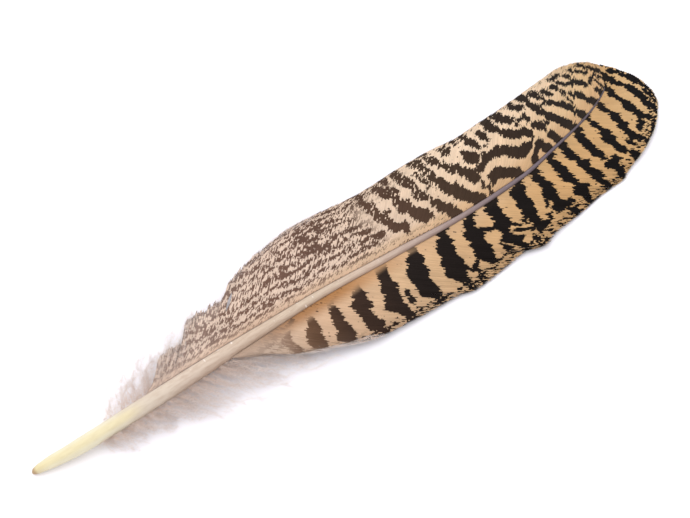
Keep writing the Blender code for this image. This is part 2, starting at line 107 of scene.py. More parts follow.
# Dark markings drawn one by one. Each bar is rows of y, and the x of its edge towards the quill and the tip.
OUTER_MARKINGS = (
    ((-10.5, 98, 100.5), (-13, 95.5, 99), (-16, 97, 100), (-18, 98.5, 101)),
    ((-9.8, 108.5, 110.3), (-12.5, 106, 110.7), (-14.7, 105, 110), (-17, 104, 109.6), (-19.3, 104.4, 109.6),
     (-21.5, 106, 109)),
    ((-9.5, 118.5, 120.5), (-12.5, 116.6, 120.3), (-14.7, 116.4, 120), (-17, 115.3, 119.8),
     (-19.3, 115, 119.8), (-20.6, 114.1, 120.3), (-22.5, 113.5, 120), (-23.8, 114.8, 119.8),
     (-25, 117, 119.4)),
    ((-9.3, 130.3, 132), (-10.6, 128.7, 132.1), (-12.5, 127.3, 132.5), (-14.7, 125.7, 132.1),
     (-17, 125.3, 131.9), (-19.3, 125.4, 132.1), (-20.6, 125.7, 130.3), (-23.8, 125.7, 130.7),
     (-25.6, 125.7, 132.5), (-27, 127.5, 131.6), (-28.8, 129.8, 131.6)),
    ((-9.3, 142.5, 145.3), (-10.6, 141, 145), (-12.5, 140, 144.8), (-14.7, 138.9, 144.4),
     (-17, 137.9, 144.9), (-19.3, 137.8, 143.7), (-20.2, 136, 143.5), (-23.4, 136, 142.8),
     (-24.7, 137.8, 142.8), (-26.5, 139.4, 143.5), (-28, 140.3, 144.1), (-29.7, 141.2, 144.8)),
    ((-20.8, 145.8, 147), (-23, 145.2, 147), (-25.5, 145.3, 147.3)),
    ((-7.7, 158.2, 162), (-9.3, 156.6, 160), (-10.6, 155.3, 159.8), (-12.5, 153, 160), (-13.8, 151.2, 160.3),
     (-15.2, 151, 159.8), (-17, 150.7, 158.5), (-19.3, 150.5, 157.8), (-21.5, 150.3, 157.1),
     (-25.6, 150.3, 157.8), (-27, 152.1, 157.5), (-28.4, 154.4, 157.5), (-29.3, 156.2, 157.5)),
    ((-6.5, 174.5, 178.5), (-8, 172.3, 177), (-9.3, 170.5, 175), (-10.6, 169.4, 174.6),
     (-12.5, 167.5, 174.4), (-15.2, 166, 173.2), (-17, 166.5, 173), (-19.3, 164.8, 172.1),
     (-21, 164.2, 172.5), (-22.9, 162.8, 173), (-25.2, 163.5, 171.6), (-27, 165.5, 170.3),
     (-29.5, 167.5, 170.5), (-31.5, 168.8, 171.5), (-33, 169.5, 171.5)),
    ((-25, 171.5, 172.8), (-26.3, 171.8, 173.5), (-27.5, 173, 174.7)),
    ((-25.5, 177, 178.5), (-26.5, 175.3, 177.8), (-27.2, 176, 177)),
    ((-32.2, 174.8, 176.5), (-33.8, 175, 177)),
    ((-6.5, 187.5, 191.5), (-8.2, 185.5, 190), (-9.3, 183, 188.5), (-10.6, 182.3, 186.6),
     (-12.5, 181.9, 186.6), (-14.3, 180, 185.3), (-15.6, 179.8, 186), (-18.4, 179.1, 186.6),
     (-19.7, 178.5, 186.2), (-21.5, 179, 185.5), (-23.8, 178, 185.5), (-25.2, 178.9, 185.5),
     (-26.5, 179.4, 185.3), (-27.9, 180.7, 185), (-29.3, 183, 185.3)),
    ((-15.6, 185, 187), (-16.8, 186, 189), (-18, 187.5, 191.5), (-18.7, 189.5, 191.5)),
    ((-25.6, 189.3, 190.3), (-27, 189.8, 191.8), (-28.5, 190.3, 192.8), (-29.3, 191.5, 192.8)),
    ((-5.6, 201, 205.3), (-8, 196.5, 203), (-8.8, 194.8, 201.6), (-10.2, 193.7, 200.3),
     (-12.5, 193.2, 199.8), (-14.7, 193, 199.1), (-16.1, 193.5, 198.9), (-17.5, 191.6, 198.9),
     (-19.3, 192.1, 198.9), (-20.6, 193, 198), (-22, 192.5, 196.6), (-23.8, 192.1, 196.2),
     (-25.2, 191, 196.6), (-26.5, 192, 200), (-27.9, 194.4, 199.8), (-29.3, 194.8, 198.5),
     (-30.6, 196.2, 199.4), (-32, 198.5, 200.3)),
    ((-20.6, 198, 199.5), (-22, 199.3, 201.2), (-22.8, 200.5, 202.3)),
    ((-23.8, 198, 200), (-24.8, 199, 202.5), (-25.6, 201.5, 205), (-26.5, 204, 207)),
    ((-21, 203.2, 204.3), (-23.4, 203.5, 204.8)),
    ((-29, 203.2, 204.5), (-31, 203.8, 205.7), (-33.4, 203.8, 206)),
    ((-5.2, 214, 218.9), (-7, 211.6, 217), (-7.9, 209.8, 215.3), (-8.8, 208, 215.5), (-10.2, 207.5, 214.8),
     (-12, 207.5, 213.5), (-13.8, 207.1, 212.5), (-15.2, 206.4, 213), (-17, 206.4, 213.2),
     (-19.3, 205.7, 212.1), (-20.6, 205, 212.3), (-22, 205.3, 211.2), (-23.8, 206.2, 210.5),
     (-25.6, 206.2, 209.8), (-26.5, 206.6, 214.4), (-27.9, 206.6, 213.5), (-28.8, 207.1, 209.8)),
    ((-25.2, 214.5, 217), (-26.5, 213.5, 215.5)),
    ((-20, 217.5, 219), (-22.5, 216.4, 217.5)),
    ((-4.8, 223, 227.5), (-7, 220.7, 225.3), (-8.8, 220, 224.4), (-10.2, 220, 223.9), (-12.5, 221, 224.4),
     (-13.8, 220.3, 225), (-15.6, 219.6, 226.2), (-17, 218.7, 224.8), (-18.4, 218.5, 224.5),
     (-20.6, 219.8, 223.9), (-22, 220.5, 223.9), (-23.4, 218.9, 224.8), (-24.7, 218, 226.6),
     (-26.1, 218.9, 226.6)),
    ((-27, 223, 225), (-28, 224.5, 228), (-29, 227, 230.5)),
    ((-24.5, 227.1, 228.5), (-26, 227.6, 229.4)),
    ((-3.5, 234.5, 238.5), (-5.5, 232.5, 236), (-6.1, 232.1, 234.4), (-7, 231.6, 235.3), (-8.8, 231.2, 236),
     (-10.6, 231, 236), (-12.5, 230.5, 235.7), (-14.7, 230.3, 235.5), (-16.6, 230.3, 235.3),
     (-17.9, 231.2, 235.7), (-19.3, 233, 235.5), (-20.4, 233.7, 235.3), (-21.5, 231.6, 236.6),
     (-22.5, 230.5, 238.5), (-23.8, 230.5, 239.6), (-24.7, 231.6, 236.6), (-26.1, 233.9, 236.6),
     (-28.5, 233.5, 236)),
    ((-3.4, 241.2, 245.3), (-4.3, 240.5, 245.3), (-5.6, 239.8, 244.1), (-7.9, 239.6, 243.9),
     (-9.7, 240.3, 243.7), (-11.1, 240.7, 243.7), (-12, 242.5, 244.8)),
    ((-13, 241.8, 244), (-13.4, 241.6, 246.2), (-14.5, 241.4, 247.8), (-16.1, 241.4, 246.6),
     (-17.5, 241.9, 245.3), (-19.3, 241.6, 246.2), (-21.5, 241.9, 247.8), (-23.4, 242.1, 247.1),
     (-24.7, 243.5, 245.7), (-26.1, 244.4, 247.1), (-27.5, 244.8, 248.9)),
    ((1, 252.5, 257.5), (-0.6, 251.9, 256.6), (-2, 251.4, 254.4), (-3.4, 250.7, 254.8), (-5.6, 250.3, 254.8),
     (-7.9, 250.5, 254.4), (-10.2, 250.3, 254.4), (-12, 249.6, 254.4), (-14.3, 249.8, 254.8),
     (-15.6, 251.2, 254.1), (-17.5, 251.9, 253.5)),
    ((-18.4, 255.7, 258.5), (-19.7, 251.2, 258.9), (-20.9, 251, 259.8), (-22, 252.1, 257.5),
     (-23.4, 253.5, 257.1), (-24.7, 254, 257.5), (-26.1, 253.5, 256.2), (-27.9, 253.9, 255.7)),
    ((4.2, 264.5, 267.5), (2.7, 262.1, 264.4), (0.6, 261.7, 264.2), (-1.5, 261.5, 264.2),
     (-3.6, 262.3, 264.4), (-5.2, 261.9, 264.8), (-6.5, 260.4, 265.6), (-8.2, 260.6, 265.6),
     (-9.8, 260, 264.8), (-11.1, 259, 264.8), (-12.3, 260, 265.8), (-13.6, 260.8, 264), (-15.2, 261, 264),
     (-16.5, 260.8, 264.6), (-18.2, 260.8, 265.6), (-19.4, 262.1, 265)),
    ((-20.5, 264.5, 267), (-22, 266, 269.5)),
    ((-22.3, 264.6, 266.5), (-24, 264.4, 267.1)),
    ((7.3, 272.9, 275.2), (6, 272.5, 274.8), (4.3, 271.7, 275), (2.7, 271.3, 274.8), (1, 272.1, 274.8),
     (-0.7, 272.3, 274.8), (-1.9, 271.9, 275.8), (-3.2, 271.7, 276.5), (-4.8, 271.9, 275),
     (-6.5, 271.5, 275.4), (-8.2, 270.4, 275.6), (-9.8, 270.4, 275), (-11.1, 270.6, 273.8),
     (-12.3, 270, 273.5), (-14, 270.2, 274), (-15.7, 270.4, 274.8), (-16.9, 270, 275), (-18.2, 275, 276.7),
     (-19.4, 275.4, 278.8)),
    ((-15.7, 267.7, 269), (-17.5, 268, 269.8), (-18.6, 269, 271)),
    ((10.2, 282.1, 284.8), (8.5, 281.3, 284.6), (6.8, 280.6, 284.2), (5.6, 281.7, 284), (3.9, 282.1, 283.8),
     (2.7, 282.3, 284.8), (1, 282.1, 285.2), (-0.7, 281.9, 285.6), (-2.3, 281, 286), (-3.6, 280.4, 286.5),
     (-4.8, 281.7, 285.2), (-8.2, 281.7, 285.4), (-9.8, 281.7, 286.9), (-11.1, 284.2, 287.1),
     (-12.3, 285.8, 288.3), (-14, 285.8, 287.1), (-15.7, 283.3, 285.4), (-17.3, 280.4, 283.3),
     (-19, 277.5, 280)),
    ((-10.7, 279.6, 282.5), (-11.9, 278.3, 282.5), (-13.2, 276.7, 281.7), (-14.3, 276.5, 279.2)),
)
# Bars of the rounded tip, which run on from one vane to the other
TIP_MARKINGS = (
    ((17.7, 286, 287.9), (16, 285.8, 290), (14.3, 286, 290.4), (12.7, 287.1, 290.4), (11, 287.5, 291),
     (9.3, 288.8, 291.5), (8.1, 290, 292.1), (6.8, 290.4, 293.8), (5.6, 290.4, 294.4), (3.5, 290.3, 294.4),
     (1.4, 290.3, 294.2), (-0.7, 290.6, 294.8), (-2.3, 290.6, 293.8), (-4, 290.4, 293.1), (-5.7, 290, 292.7),
     (-7.3, 290.4, 292.9), (-8.2, 290.8, 292.5)),
    ((-8.2, 292.1, 293), (-10.7, 292.8, 294)),
    ((19.3, 290.4, 292.5), (18.1, 290.4, 294.2), (16.8, 292, 295.4), (15.2, 293.8, 296.3),
     (13.5, 294.6, 296.9), (11.8, 294.8, 297.3), (10.2, 295.2, 297.5), (8.9, 295.4, 297.3),
     (7.3, 295.4, 296.7)),
    ((7.5, 298.3, 299), (5, 298, 299.3), (2.5, 297.8, 299)),
    ((-3, 296, 297.5), (-6, 295.4, 296.6)),
)
INNER_MARKINGS = (
    ((5.7, 150.7, 155.3), (4.4, 148.5, 155.3), (3, 147.5, 155), (2.1, 147.5, 150.3)),
    ((10.5, 148, 151), (9.8, 147.5, 151.2), (8, 147.1, 150.7), (6, 147.5, 150)),
    ((28.5, 158, 159.4), (23.9, 156.5, 159), (21.6, 155.7, 158.5), (19.4, 155.5, 160.7),
     (17.5, 155.7, 159.8), (15.7, 155.7, 160.3), (13.9, 156.2, 159.8), (12.1, 155.7, 160.3),
     (10.3, 156, 160.7), (8.5, 157.1, 161.6), (6.6, 157.5, 161), (4.8, 157.5, 162.3), (3.5, 157.5, 164.4),
     (1.6, 158.5, 165.3), (0.3, 160.3, 164.4), (-1.1, 161.2, 163)),
    ((13, 161.2, 163.5), (11.5, 161.5, 164)),
    ((26.2, 165.3, 167.5), (24.4, 164.8, 167.5), (23, 164.8, 170.7), (21.6, 164.8, 171.6),
     (19.8, 165.3, 173), (18.5, 165.7, 173), (16.6, 168.5, 171.2), (14.8, 166.9, 171.2), (13, 166.6, 171.6),
     (11.2, 166.4, 172.1), (9.4, 165.7, 171.9), (8, 166, 172.5), (6.6, 166.6, 173.9), (4.8, 168, 175),
     (3.5, 168.2, 175.3), (1.6, 168.5, 176.6), (0.3, 168.9, 175.3), (-1.1, 170, 175.7)),
    ((28.5, 170.7, 172.5), (26.6, 170, 173), (25, 170.5, 172)),
    ((28.5, 176.2, 178.9), (26.2, 176, 179.4), (23.9, 175.7, 179.6), (21.6, 175.5, 180.3),
     (19.4, 176, 179.6), (17.1, 176.4, 179.8), (14.8, 176.4, 179.8), (12.1, 174.8, 180.3),
     (10.3, 175.3, 180), (8.5, 176.6, 180.3), (6.6, 178.5, 181.2), (4.8, 178.5, 182.1), (3.5, 178.9, 183),
     (1.2, 178.3, 183.5), (-0.6, 178.7, 184.4), (-2.5, 179.5, 185.3), (-3.8, 180.7, 186.6)),
    ((21, 181.5, 184), (18, 183, 185), (14, 183.5, 186), (12, 182, 184.5)),
    ((28.5, 186.2, 189.4), (26.2, 185.3, 189.4), (23.9, 185.5, 190), (21.6, 186.6, 189.4),
     (19.4, 186.2, 189.8), (17.1, 186.4, 189.6), (14.8, 186.4, 190), (13, 187.1, 190.3),
     (11.2, 186.6, 191.6), (9.4, 185.5, 191.4), (7.5, 185.7, 191.6), (6.2, 186.6, 193.7),
     (4.8, 187.1, 193.9), (3, 187.3, 194.6), (1.2, 187.5, 194.8), (-0.6, 188.7, 196.2), (-2, 189.8, 197.5),
     (-3.4, 191.2, 198.5), (-4.7, 193, 197.5)),
    ((28.5, 192.5, 194.4), (27.1, 192, 193.9), (24.8, 193, 196.2), (23, 191.6, 195.3), (21.6, 191.9, 196.6),
     (19.8, 193.9, 197.1), (18.5, 194.4, 197.5), (16.6, 194.6, 198.9), (14.8, 195, 200.3),
     (13, 195.3, 200.7), (11.2, 196.2, 202.1), (9.4, 197.1, 203.5), (7.5, 198.5, 204.6), (5.7, 198.2, 204.1),
     (4.4, 198.5, 203.5), (3, 199.4, 202.5)),
    ((1.6, 202, 203.5), (0, 200.8, 202.5), (-1.5, 200.3, 201.5)),
    ((-2, 201.5, 203.2), (-3.4, 201.2, 202.6)),
    ((3.9, 212.1, 213.9), (3, 206.2, 214.4), (1.6, 205.7, 216.2), (0.3, 205.3, 217.5), (-0.9, 209.8, 219.1),
     (-2.2, 211.2, 219.6), (-3.4, 213.5, 219.8), (-4.3, 215.5, 218.9)),
    ((0.3, 205.3, 209.5), (-0.9, 204.8, 208.5), (-2.2, 204.8, 206.6)),
    ((18.9, 205.3, 208), (17.1, 205.5, 209.8), (15.3, 204.4, 211.6), (13.9, 203.5, 212),
     (12.5, 204.6, 210.3), (11.2, 205.7, 208.9)),
    ((9.4, 205.5, 209), (8.5, 205.3, 210.7), (7.1, 204.5, 208.5), (5.7, 204, 206.5)),
    ((13.5, 212, 214), (12.5, 211.6, 216.2), (11.2, 210.7, 224.8), (9.8, 209.5, 225.7), (8.5, 209, 226.2)),
    ((12.6, 218.9, 222), (11.2, 218, 224.8)),
    ((8.5, 218, 226.2), (7.6, 219, 227), (7.1, 220.3, 235.3), (5.7, 220.5, 233.5), (3.9, 221.6, 232.1),
     (2.5, 222.8, 228.9), (1.6, 223.5, 226)),
    ((28.5, 213.5, 215.7), (26.2, 212, 213.9), (23.9, 211.6, 213.9), (21.6, 210.7, 215.7),
     (19.4, 212, 215.3), (17.5, 212, 214.8), (16.2, 214.4, 217.5)),
    ((26.6, 200.7, 203.5), (24.8, 200.7, 204.8), (23.5, 199.8, 203.5), (22, 200, 202)),
    ((28.5, 208.5, 209.8), (25, 207.5, 209)),
    ((24.5, 218.7, 221), (21.6, 218.2, 221.4), (19.4, 218.5, 220.7), (17.5, 218.9, 220.7)),
    ((28.5, 225.3, 228.9), (26.2, 224.8, 228.5), (23.9, 223.5, 228.2), (22.1, 223.7, 227.5),
     (20.7, 224.4, 227.5), (19.8, 224.4, 228.9), (18, 226.2, 231.4), (16.6, 226.6, 232.1),
     (15.3, 226.2, 232.8), (13.9, 228, 237.1), (12.5, 228.2, 237.5), (11.2, 229.8, 238),
     (10.3, 232.1, 237.8), (8.9, 235, 237.5), (7.8, 235.3, 236.2)),
    ((28, 231.6, 234.8), (26.2, 231, 234.4), (24.4, 230, 236.2), (23, 230, 236.6), (21.6, 232.8, 238),
     (20.3, 233.5, 236.2)),
    ((18, 234.6, 236.6), (17, 234.6, 236.6)),
    ((14.4, 240.5, 242), (13, 239.4, 245.3), (11.6, 239.4, 244.4), (10.3, 240.5, 244.6), (8.9, 241, 244.1),
     (7.8, 242.3, 243.5)),
    ((11.6, 245.5, 247.5), (10.5, 245.3, 247.8)),
    ((19.8, 237.5, 242.1), (18.9, 237.3, 242.1), (18, 238.5, 243.3), (17.1, 239.8, 243),
     (16.2, 239.8, 241.2)),
    ((31, 243.5, 245), (27.5, 240.5, 243), (26.2, 240.7, 244.8), (24.8, 241.6, 245), (23.5, 241.5, 244.5)),
    ((5.7, 236.4, 237.3), (4.8, 233.9, 237.5), (3.5, 233.2, 237.8), (1.6, 233.2, 238.9), (0.3, 234.4, 239.1),
     (-1.1, 235.3, 238.5)),
    ((2.3, 231.5, 234), (1.2, 230, 233.5), (0, 228, 231.5), (-1, 226.5, 230), (-2.3, 225, 228)),
    ((6.4, 243, 244.6), (5.3, 241.6, 245.3), (3.9, 241.4, 245.3), (2.5, 241.4, 245.5), (1.2, 242.5, 246.6)),
    ((29.4, 247.1, 250.3), (27.5, 247.1, 250.3), (25.7, 247.1, 249.8), (23.9, 246.5, 248.8),
     (21.6, 247.3, 250.3), (19.8, 246.4, 250.3), (18, 246.6, 250.3), (16.2, 246.6, 251),
     (14.8, 247.5, 251.6), (13, 248, 252.1), (11.2, 248.2, 253), (9.4, 249.1, 253.9), (7.5, 249.8, 255),
     (5.7, 250, 255.5), (3.9, 251, 256.4), (3, 252.5, 256.2)),
    ((20, 250.3, 256.6), (19.3, 250.5, 254)),
    ((28.9, 252.5, 255.3), (25.3, 252.1, 255.3), (23.5, 252.8, 255.5), (22.1, 254, 255.2),
     (20.7, 254.4, 256.6), (18.5, 254.4, 257.1), (17.5, 254.6, 257.5)),
    ((26.2, 257.3, 258.9), (24.8, 256.6, 259.4), (23.5, 258, 259.8), (21.9, 258.7, 260)),
    ((17.5, 255.5, 258), (16.2, 255.5, 261.6), (14.8, 256.9, 261.2), (13, 257.8, 261.9),
     (11.2, 259.1, 261.9), (9.4, 259.6, 262.1), (7.5, 260, 263.9), (5.7, 260.3, 265.3), (4.8, 260.5, 265.8)),
    ((18.1, 265.8, 267.9), (16.8, 265.2, 271.3), (15.2, 266.7, 271.5), (13.5, 267.5, 271),
     (11.8, 269, 272.5), (10.2, 269.6, 274), (8.9, 270.2, 275), (8.1, 271, 274.5)),
    ((16.4, 263.2, 264), (11.8, 263.3, 264)),
    ((14.3, 278.3, 280), (13.1, 277.7, 281), (11.8, 277.9, 280.6), (10.8, 278.1, 279.6)),
    ((26.2, 266.2, 267.5), (24.8, 266.9, 269), (23.5, 267.5, 270.4), (22.7, 267.9, 275),
     (21.6, 269.8, 275.8), (20.2, 272.9, 277.9), (18.9, 273.8, 278.3), (17.7, 275.4, 277)),
    ((24.3, 272.9, 274.6), (23, 273, 275)),
    ((28.9, 276.3, 277.7), (27.7, 276.7, 278.8), (26.4, 277.5, 280), (25.2, 279.2, 281.7),
     (24.3, 280, 284.2), (23.5, 280.8, 282)),
    ((25.2, 284.8, 286.3), (24.3, 285.5, 288), (23.5, 287.9, 289.2)),
    ((21.2, 283.5, 285.2), (20.4, 280.8, 285.2), (19.3, 279.6, 281.7), (18.1, 278.3, 280),
     (17, 277.7, 279.2)),
    ((19.3, 284.2, 286.3), (18.1, 284.2, 286.5)),
    ((18.1, 281.9, 282.9), (15.6, 282, 282.8)),
    ((26, 261.7, 264), (24.8, 261.7, 265.4), (23.5, 262.5, 264.6), (22.7, 262.9, 263.8)),
    ((21.4, 263.5, 265.4), (20.2, 264, 266.3), (18.9, 262.5, 265)),
    ((27.7, 271.9, 273.3), (26.4, 272, 274.4), (25.6, 272.5, 274.2)),
    ((29.8, 265, 271), (29, 265.5, 270)),
    ((29.3, 281.5, 283), (27.5, 283, 284.8), (26.6, 284, 285.2)),
    ((21.8, 288.5, 290), (20.6, 288.3, 289.3)),
    ((25.2, 258.3, 260), (21.4, 259, 260)),
    ((28.5, 127.1, 130.3), (23.9, 125.7, 130.3), (19.4, 125.7, 131.2), (14.8, 127.5, 131.6),
     (11.6, 129, 137.5)),
    ((28, 131, 136), (24.5, 135, 139.4), (21, 134, 139)),
    ((24.4, 140.5, 145.3), (21.5, 141, 145)),
    ((13.5, 112, 115.3), (11.6, 109.8, 115.3), (10, 109.8, 113.5)),
    ((19.4, 115.3, 120.5), (16.8, 115.8, 120.7)),
)


def linear(red: float, green: float, blue: float) -> tuple[float, float, float, float]:
    """Turn a colour as seen on a screen, 0 to 255, into the linear colour that a shader takes.

    Args:
        red: Red as seen.
        green: Green as seen.
        blue: Blue as seen.

    Returns:
        Linear red, green, blue and an opacity of 1.
    """
    parts = [value / 255 for value in (red, green, blue)]
    straight = [part / 12.92 if part <= 0.04045 else ((part + 0.055) / 1.055) ** 2.4 for part in parts]
    return (*straight, 1.0)


def through(rows: np.ndarray, places: np.ndarray) -> np.ndarray:
    """Points of a smooth curve through rows, which never overshoots them.

    Args:
        rows: The rows, one point each.
        places: Where to read it: 0 is the first row, 1 the second, and so on.

    Returns:
        One point for each place.
    """
    steps = np.diff(rows, axis=0)
    before, after = steps[:-1], steps[1:]
    same_way = before * after > 0
    total = np.where(same_way, before + after, 1.0)
    slopes = np.vstack([steps[:1], np.where(same_way, 2 * before * after / total, 0.0), steps[-1:]])
    first = np.clip(places.astype(int), 0, len(rows) - 2)
    t = (places - first)[:, None]
    share = 2 * t**3 - 3 * t**2 + 1
    return (share * rows[first] + (1 - share) * rows[first + 1]
            + (t**3 - 2 * t**2 + t) * slopes[first] + (t**3 - t**2) * slopes[first + 1])


def stand(name: str, data: bpy.types.ID) -> bpy.types.Object:
    """Make an object and put it in the scene."""
    thing = bpy.data.objects.new(name, data)
    bpy.context.collection.objects.link(thing)
    return thing


def unit(vectors: np.ndarray) -> np.ndarray:
    """Vectors of the same direction, one long."""
    return vectors / np.maximum(np.linalg.norm(vectors, axis=-1, keepdims=True), 1e-9)


@dataclass
class ShaftLine:
    """The middle line of the shaft, read by distance from the quill's tip along it."""

    shaft_end: float = 286
    arch_height: float = 7.0
    arch_span: float = 303
    samples: int = 1500
    heading_reach: float = 1
    lateral_step: int = 3
    lateral_batch: int = 3000

    def __post_init__(self) -> None:
        """Measure the line."""
        rows = np.array(SHAFT_LINE, float)
        self.points = through(rows, np.linspace(0, len(rows) - 1, self.samples))
        strides = np.linalg.norm(np.diff(self.points, axis=0), axis=1)
        self.stations = np.concatenate([[0], np.cumsum(strides)])

    def plan(self, station: np.ndarray) -> np.ndarray:
        """Place of the line seen from above."""
        return np.stack([np.interp(station, self.stations, self.points[:, axis]) for axis in (0, 1)], -1)

    def heading(self, station: np.ndarray) -> np.ndarray:
        """Unit vector along the line seen from above, towards the feather's tip."""
        middle = np.clip(station, self.heading_reach, self.stations[-1] - self.heading_reach)
        return unit(self.plan(middle + self.heading_reach) - self.plan(middle - self.heading_reach))

    def radius(self, station: np.ndarray) -> np.ndarray:
        """Radius of the shaft, which is nothing past its end."""
        stations, radii = zip(*SHAFT_RADII)
        return np.where(station > self.shaft_end, 0.0, np.interp(station, stations, radii))

    def height(self, station: np.ndarray) -> np.ndarray:
        """Height of the line, which rests on the quill's tip and arches from there."""
        rise = np.sin(np.pi * np.clip(station, 0, self.arch_span) / self.arch_span)
        return self.radius(np.minimum(station, self.shaft_end)) + self.arch_height * rise

    def beside(self, station: np.ndarray, side: Side, distance: np.ndarray, lift: np.ndarray) -> np.ndarray:
        """Points beside the line.

        Args:
            station: Distance along the line.
            side: The side of the shaft.
            distance: Distance from the line, level.
            lift: Height over the line.

        Returns:
            One point for each station.
        """
        along = self.heading(station)
        across = side.value * np.stack([-along[..., 1], along[..., 0]], -1)
        level = self.plan(station) + across * np.asarray(distance)[..., None]
        return np.concatenate([level, (self.height(station) + lift)[..., None]], -1)

    def lateral(self, points: np.ndarray) -> np.ndarray:
        """Level distance of points from the line."""
        flat = points[..., :2].reshape(-1, 2)
        line = self.points[::self.lateral_step]
        nearest = [np.linalg.norm(part[:, None] - line[None], axis=-1).min(1)
                   for part in np.array_split(flat, max(1, len(flat) // self.lateral_batch))]
        return np.concatenate(nearest).reshape(points.shape[:-1])


LINE = ShaftLine()


@dataclass
class Markings:
    """Dark bars of one vane."""

    bars: tuple
    reach: float = 3.0
    near_edge: float = 2.8
    past_edge: float = 5.0
    end_margin: float = 0.3

    def depth(self, x: np.ndarray, y: np.ndarray, edge: np.ndarray) -> np.ndarray:
        """How far points are inside the nearest bar's edge.

        Args:
            x: Places along the feather.
            y: Places across it.
            edge: Points along the vane's edges. A bar that ends near one of them runs on to it.

        Returns:
            Millimetres inside an edge, which are negative outside the bars.
        """
        depth = np.full(x.shape, -self.reach)
        for bar in self.bars:
            rows = np.array(sorted(bar), float)
            for end, way in ((0, -1), (-1, 1)):
                middle = (rows[end, 1:].mean(), rows[end, 0])
                if np.linalg.norm(edge - middle, axis=1).min() < self.near_edge:
                    rows[end, 0] += way * self.past_edge
            left = np.interp(y, rows[:, 0], rows[:, 1])
            right = np.interp(y, rows[:, 0], rows[:, 2])
            ends = np.minimum(rows[-1, 0] - y, y - rows[0, 0]) + self.end_margin
            inside = np.minimum(np.minimum(x - left, right - x), ends)
            depth = np.maximum(depth, inside)
        return depth


@dataclass
class Strands:
    """Many thin closed strands in one mesh: rings of points, each strand ending in a point."""

    name: str
    rings: np.ndarray
    tips: np.ndarray

    def faces(self) -> tuple[np.ndarray, np.ndarray]:
        """Corners of every face, and the place among them where each face starts."""
        count, ring_count, sides = self.rings.shape[:3]
        each = ring_count * sides + 1
        start = (np.arange(count) * each)[:, None, None]
        ring = (np.arange(ring_count) * sides)[None, :, None]
        corner = np.arange(sides)[None, None, :]
        here, following = start + ring + corner, start + ring + (corner + 1) % sides
        quads = np.stack([here[:, :-1], following[:, :-1], following[:, 1:], here[:, 1:]], -1).reshape(-1, 4)
        tip = np.broadcast_to(start[:, 0] + each - 1, (count, sides))
        points = np.stack([here[:, -1], following[:, -1], tip], -1).reshape(-1, 3)
        caps = here[:, 0, ::-1].reshape(-1, sides)
        groups = (quads, points, caps)
        corners = np.concatenate([group.ravel() for group in groups])
        sizes = np.concatenate([np.full(len(group), group.shape[1]) for group in groups])
        return corners, np.concatenate([[0], np.cumsum(sizes)[:-1]])

    def spread(self, values: np.ndarray, at_tip: np.ndarray) -> np.ndarray:
        """Give each ring's value to all its points, and each strand's last value to its tip."""
        count, ring_count, sides = self.rings.shape[:3]
        wide = np.broadcast_to(values[:, :, None], (count, ring_count, sides, *values.shape[2:]))
        wide = wide.reshape(count, ring_count * sides, *values.shape[2:])
        return np.concatenate([wide, at_tip[:, None]], 1)

    def build(self, shift: Vector, marks: dict[str, np.ndarray]) -> bpy.types.Object:
        """Make the mesh object.

        Args:
            shift: Move from feather millimetres to the frame, in millimetres.
            marks: Values for the material: one number or three for every point.

        Returns:
            The new object.
        """
        count = len(self.rings)
        points = np.concatenate([self.rings.reshape(count, -1, 3), self.tips[:, None]], 1).reshape(-1, 3)
        corners, starts = self.faces()
        data = bpy.data.meshes.new(self.name)
        data.vertices.add(len(points))
        data.vertices.foreach_set("co", ((points + np.array(shift)) * MM).astype(np.float32).ravel())
        data.loops.add(len(corners))
        data.loops.foreach_set("vertex_index", corners.astype(np.int32))
        data.polygons.add(len(starts))
        data.polygons.foreach_set("loop_start", starts.astype(np.int32))
        data.update(calc_edges=True)
        for mark, values in marks.items():
            kind, field = ("FLOAT_VECTOR", "vector") if values.shape[-1] == 3 else ("FLOAT", "value")
            layer = data.attributes.new(mark, kind, "POINT")
            layer.data.foreach_set(field, values.astype(np.float32).ravel())
        data.shade_smooth()
        log.info("%s: %d strands, %d faces", self.name, count, len(starts))
        return stand(self.name, data)


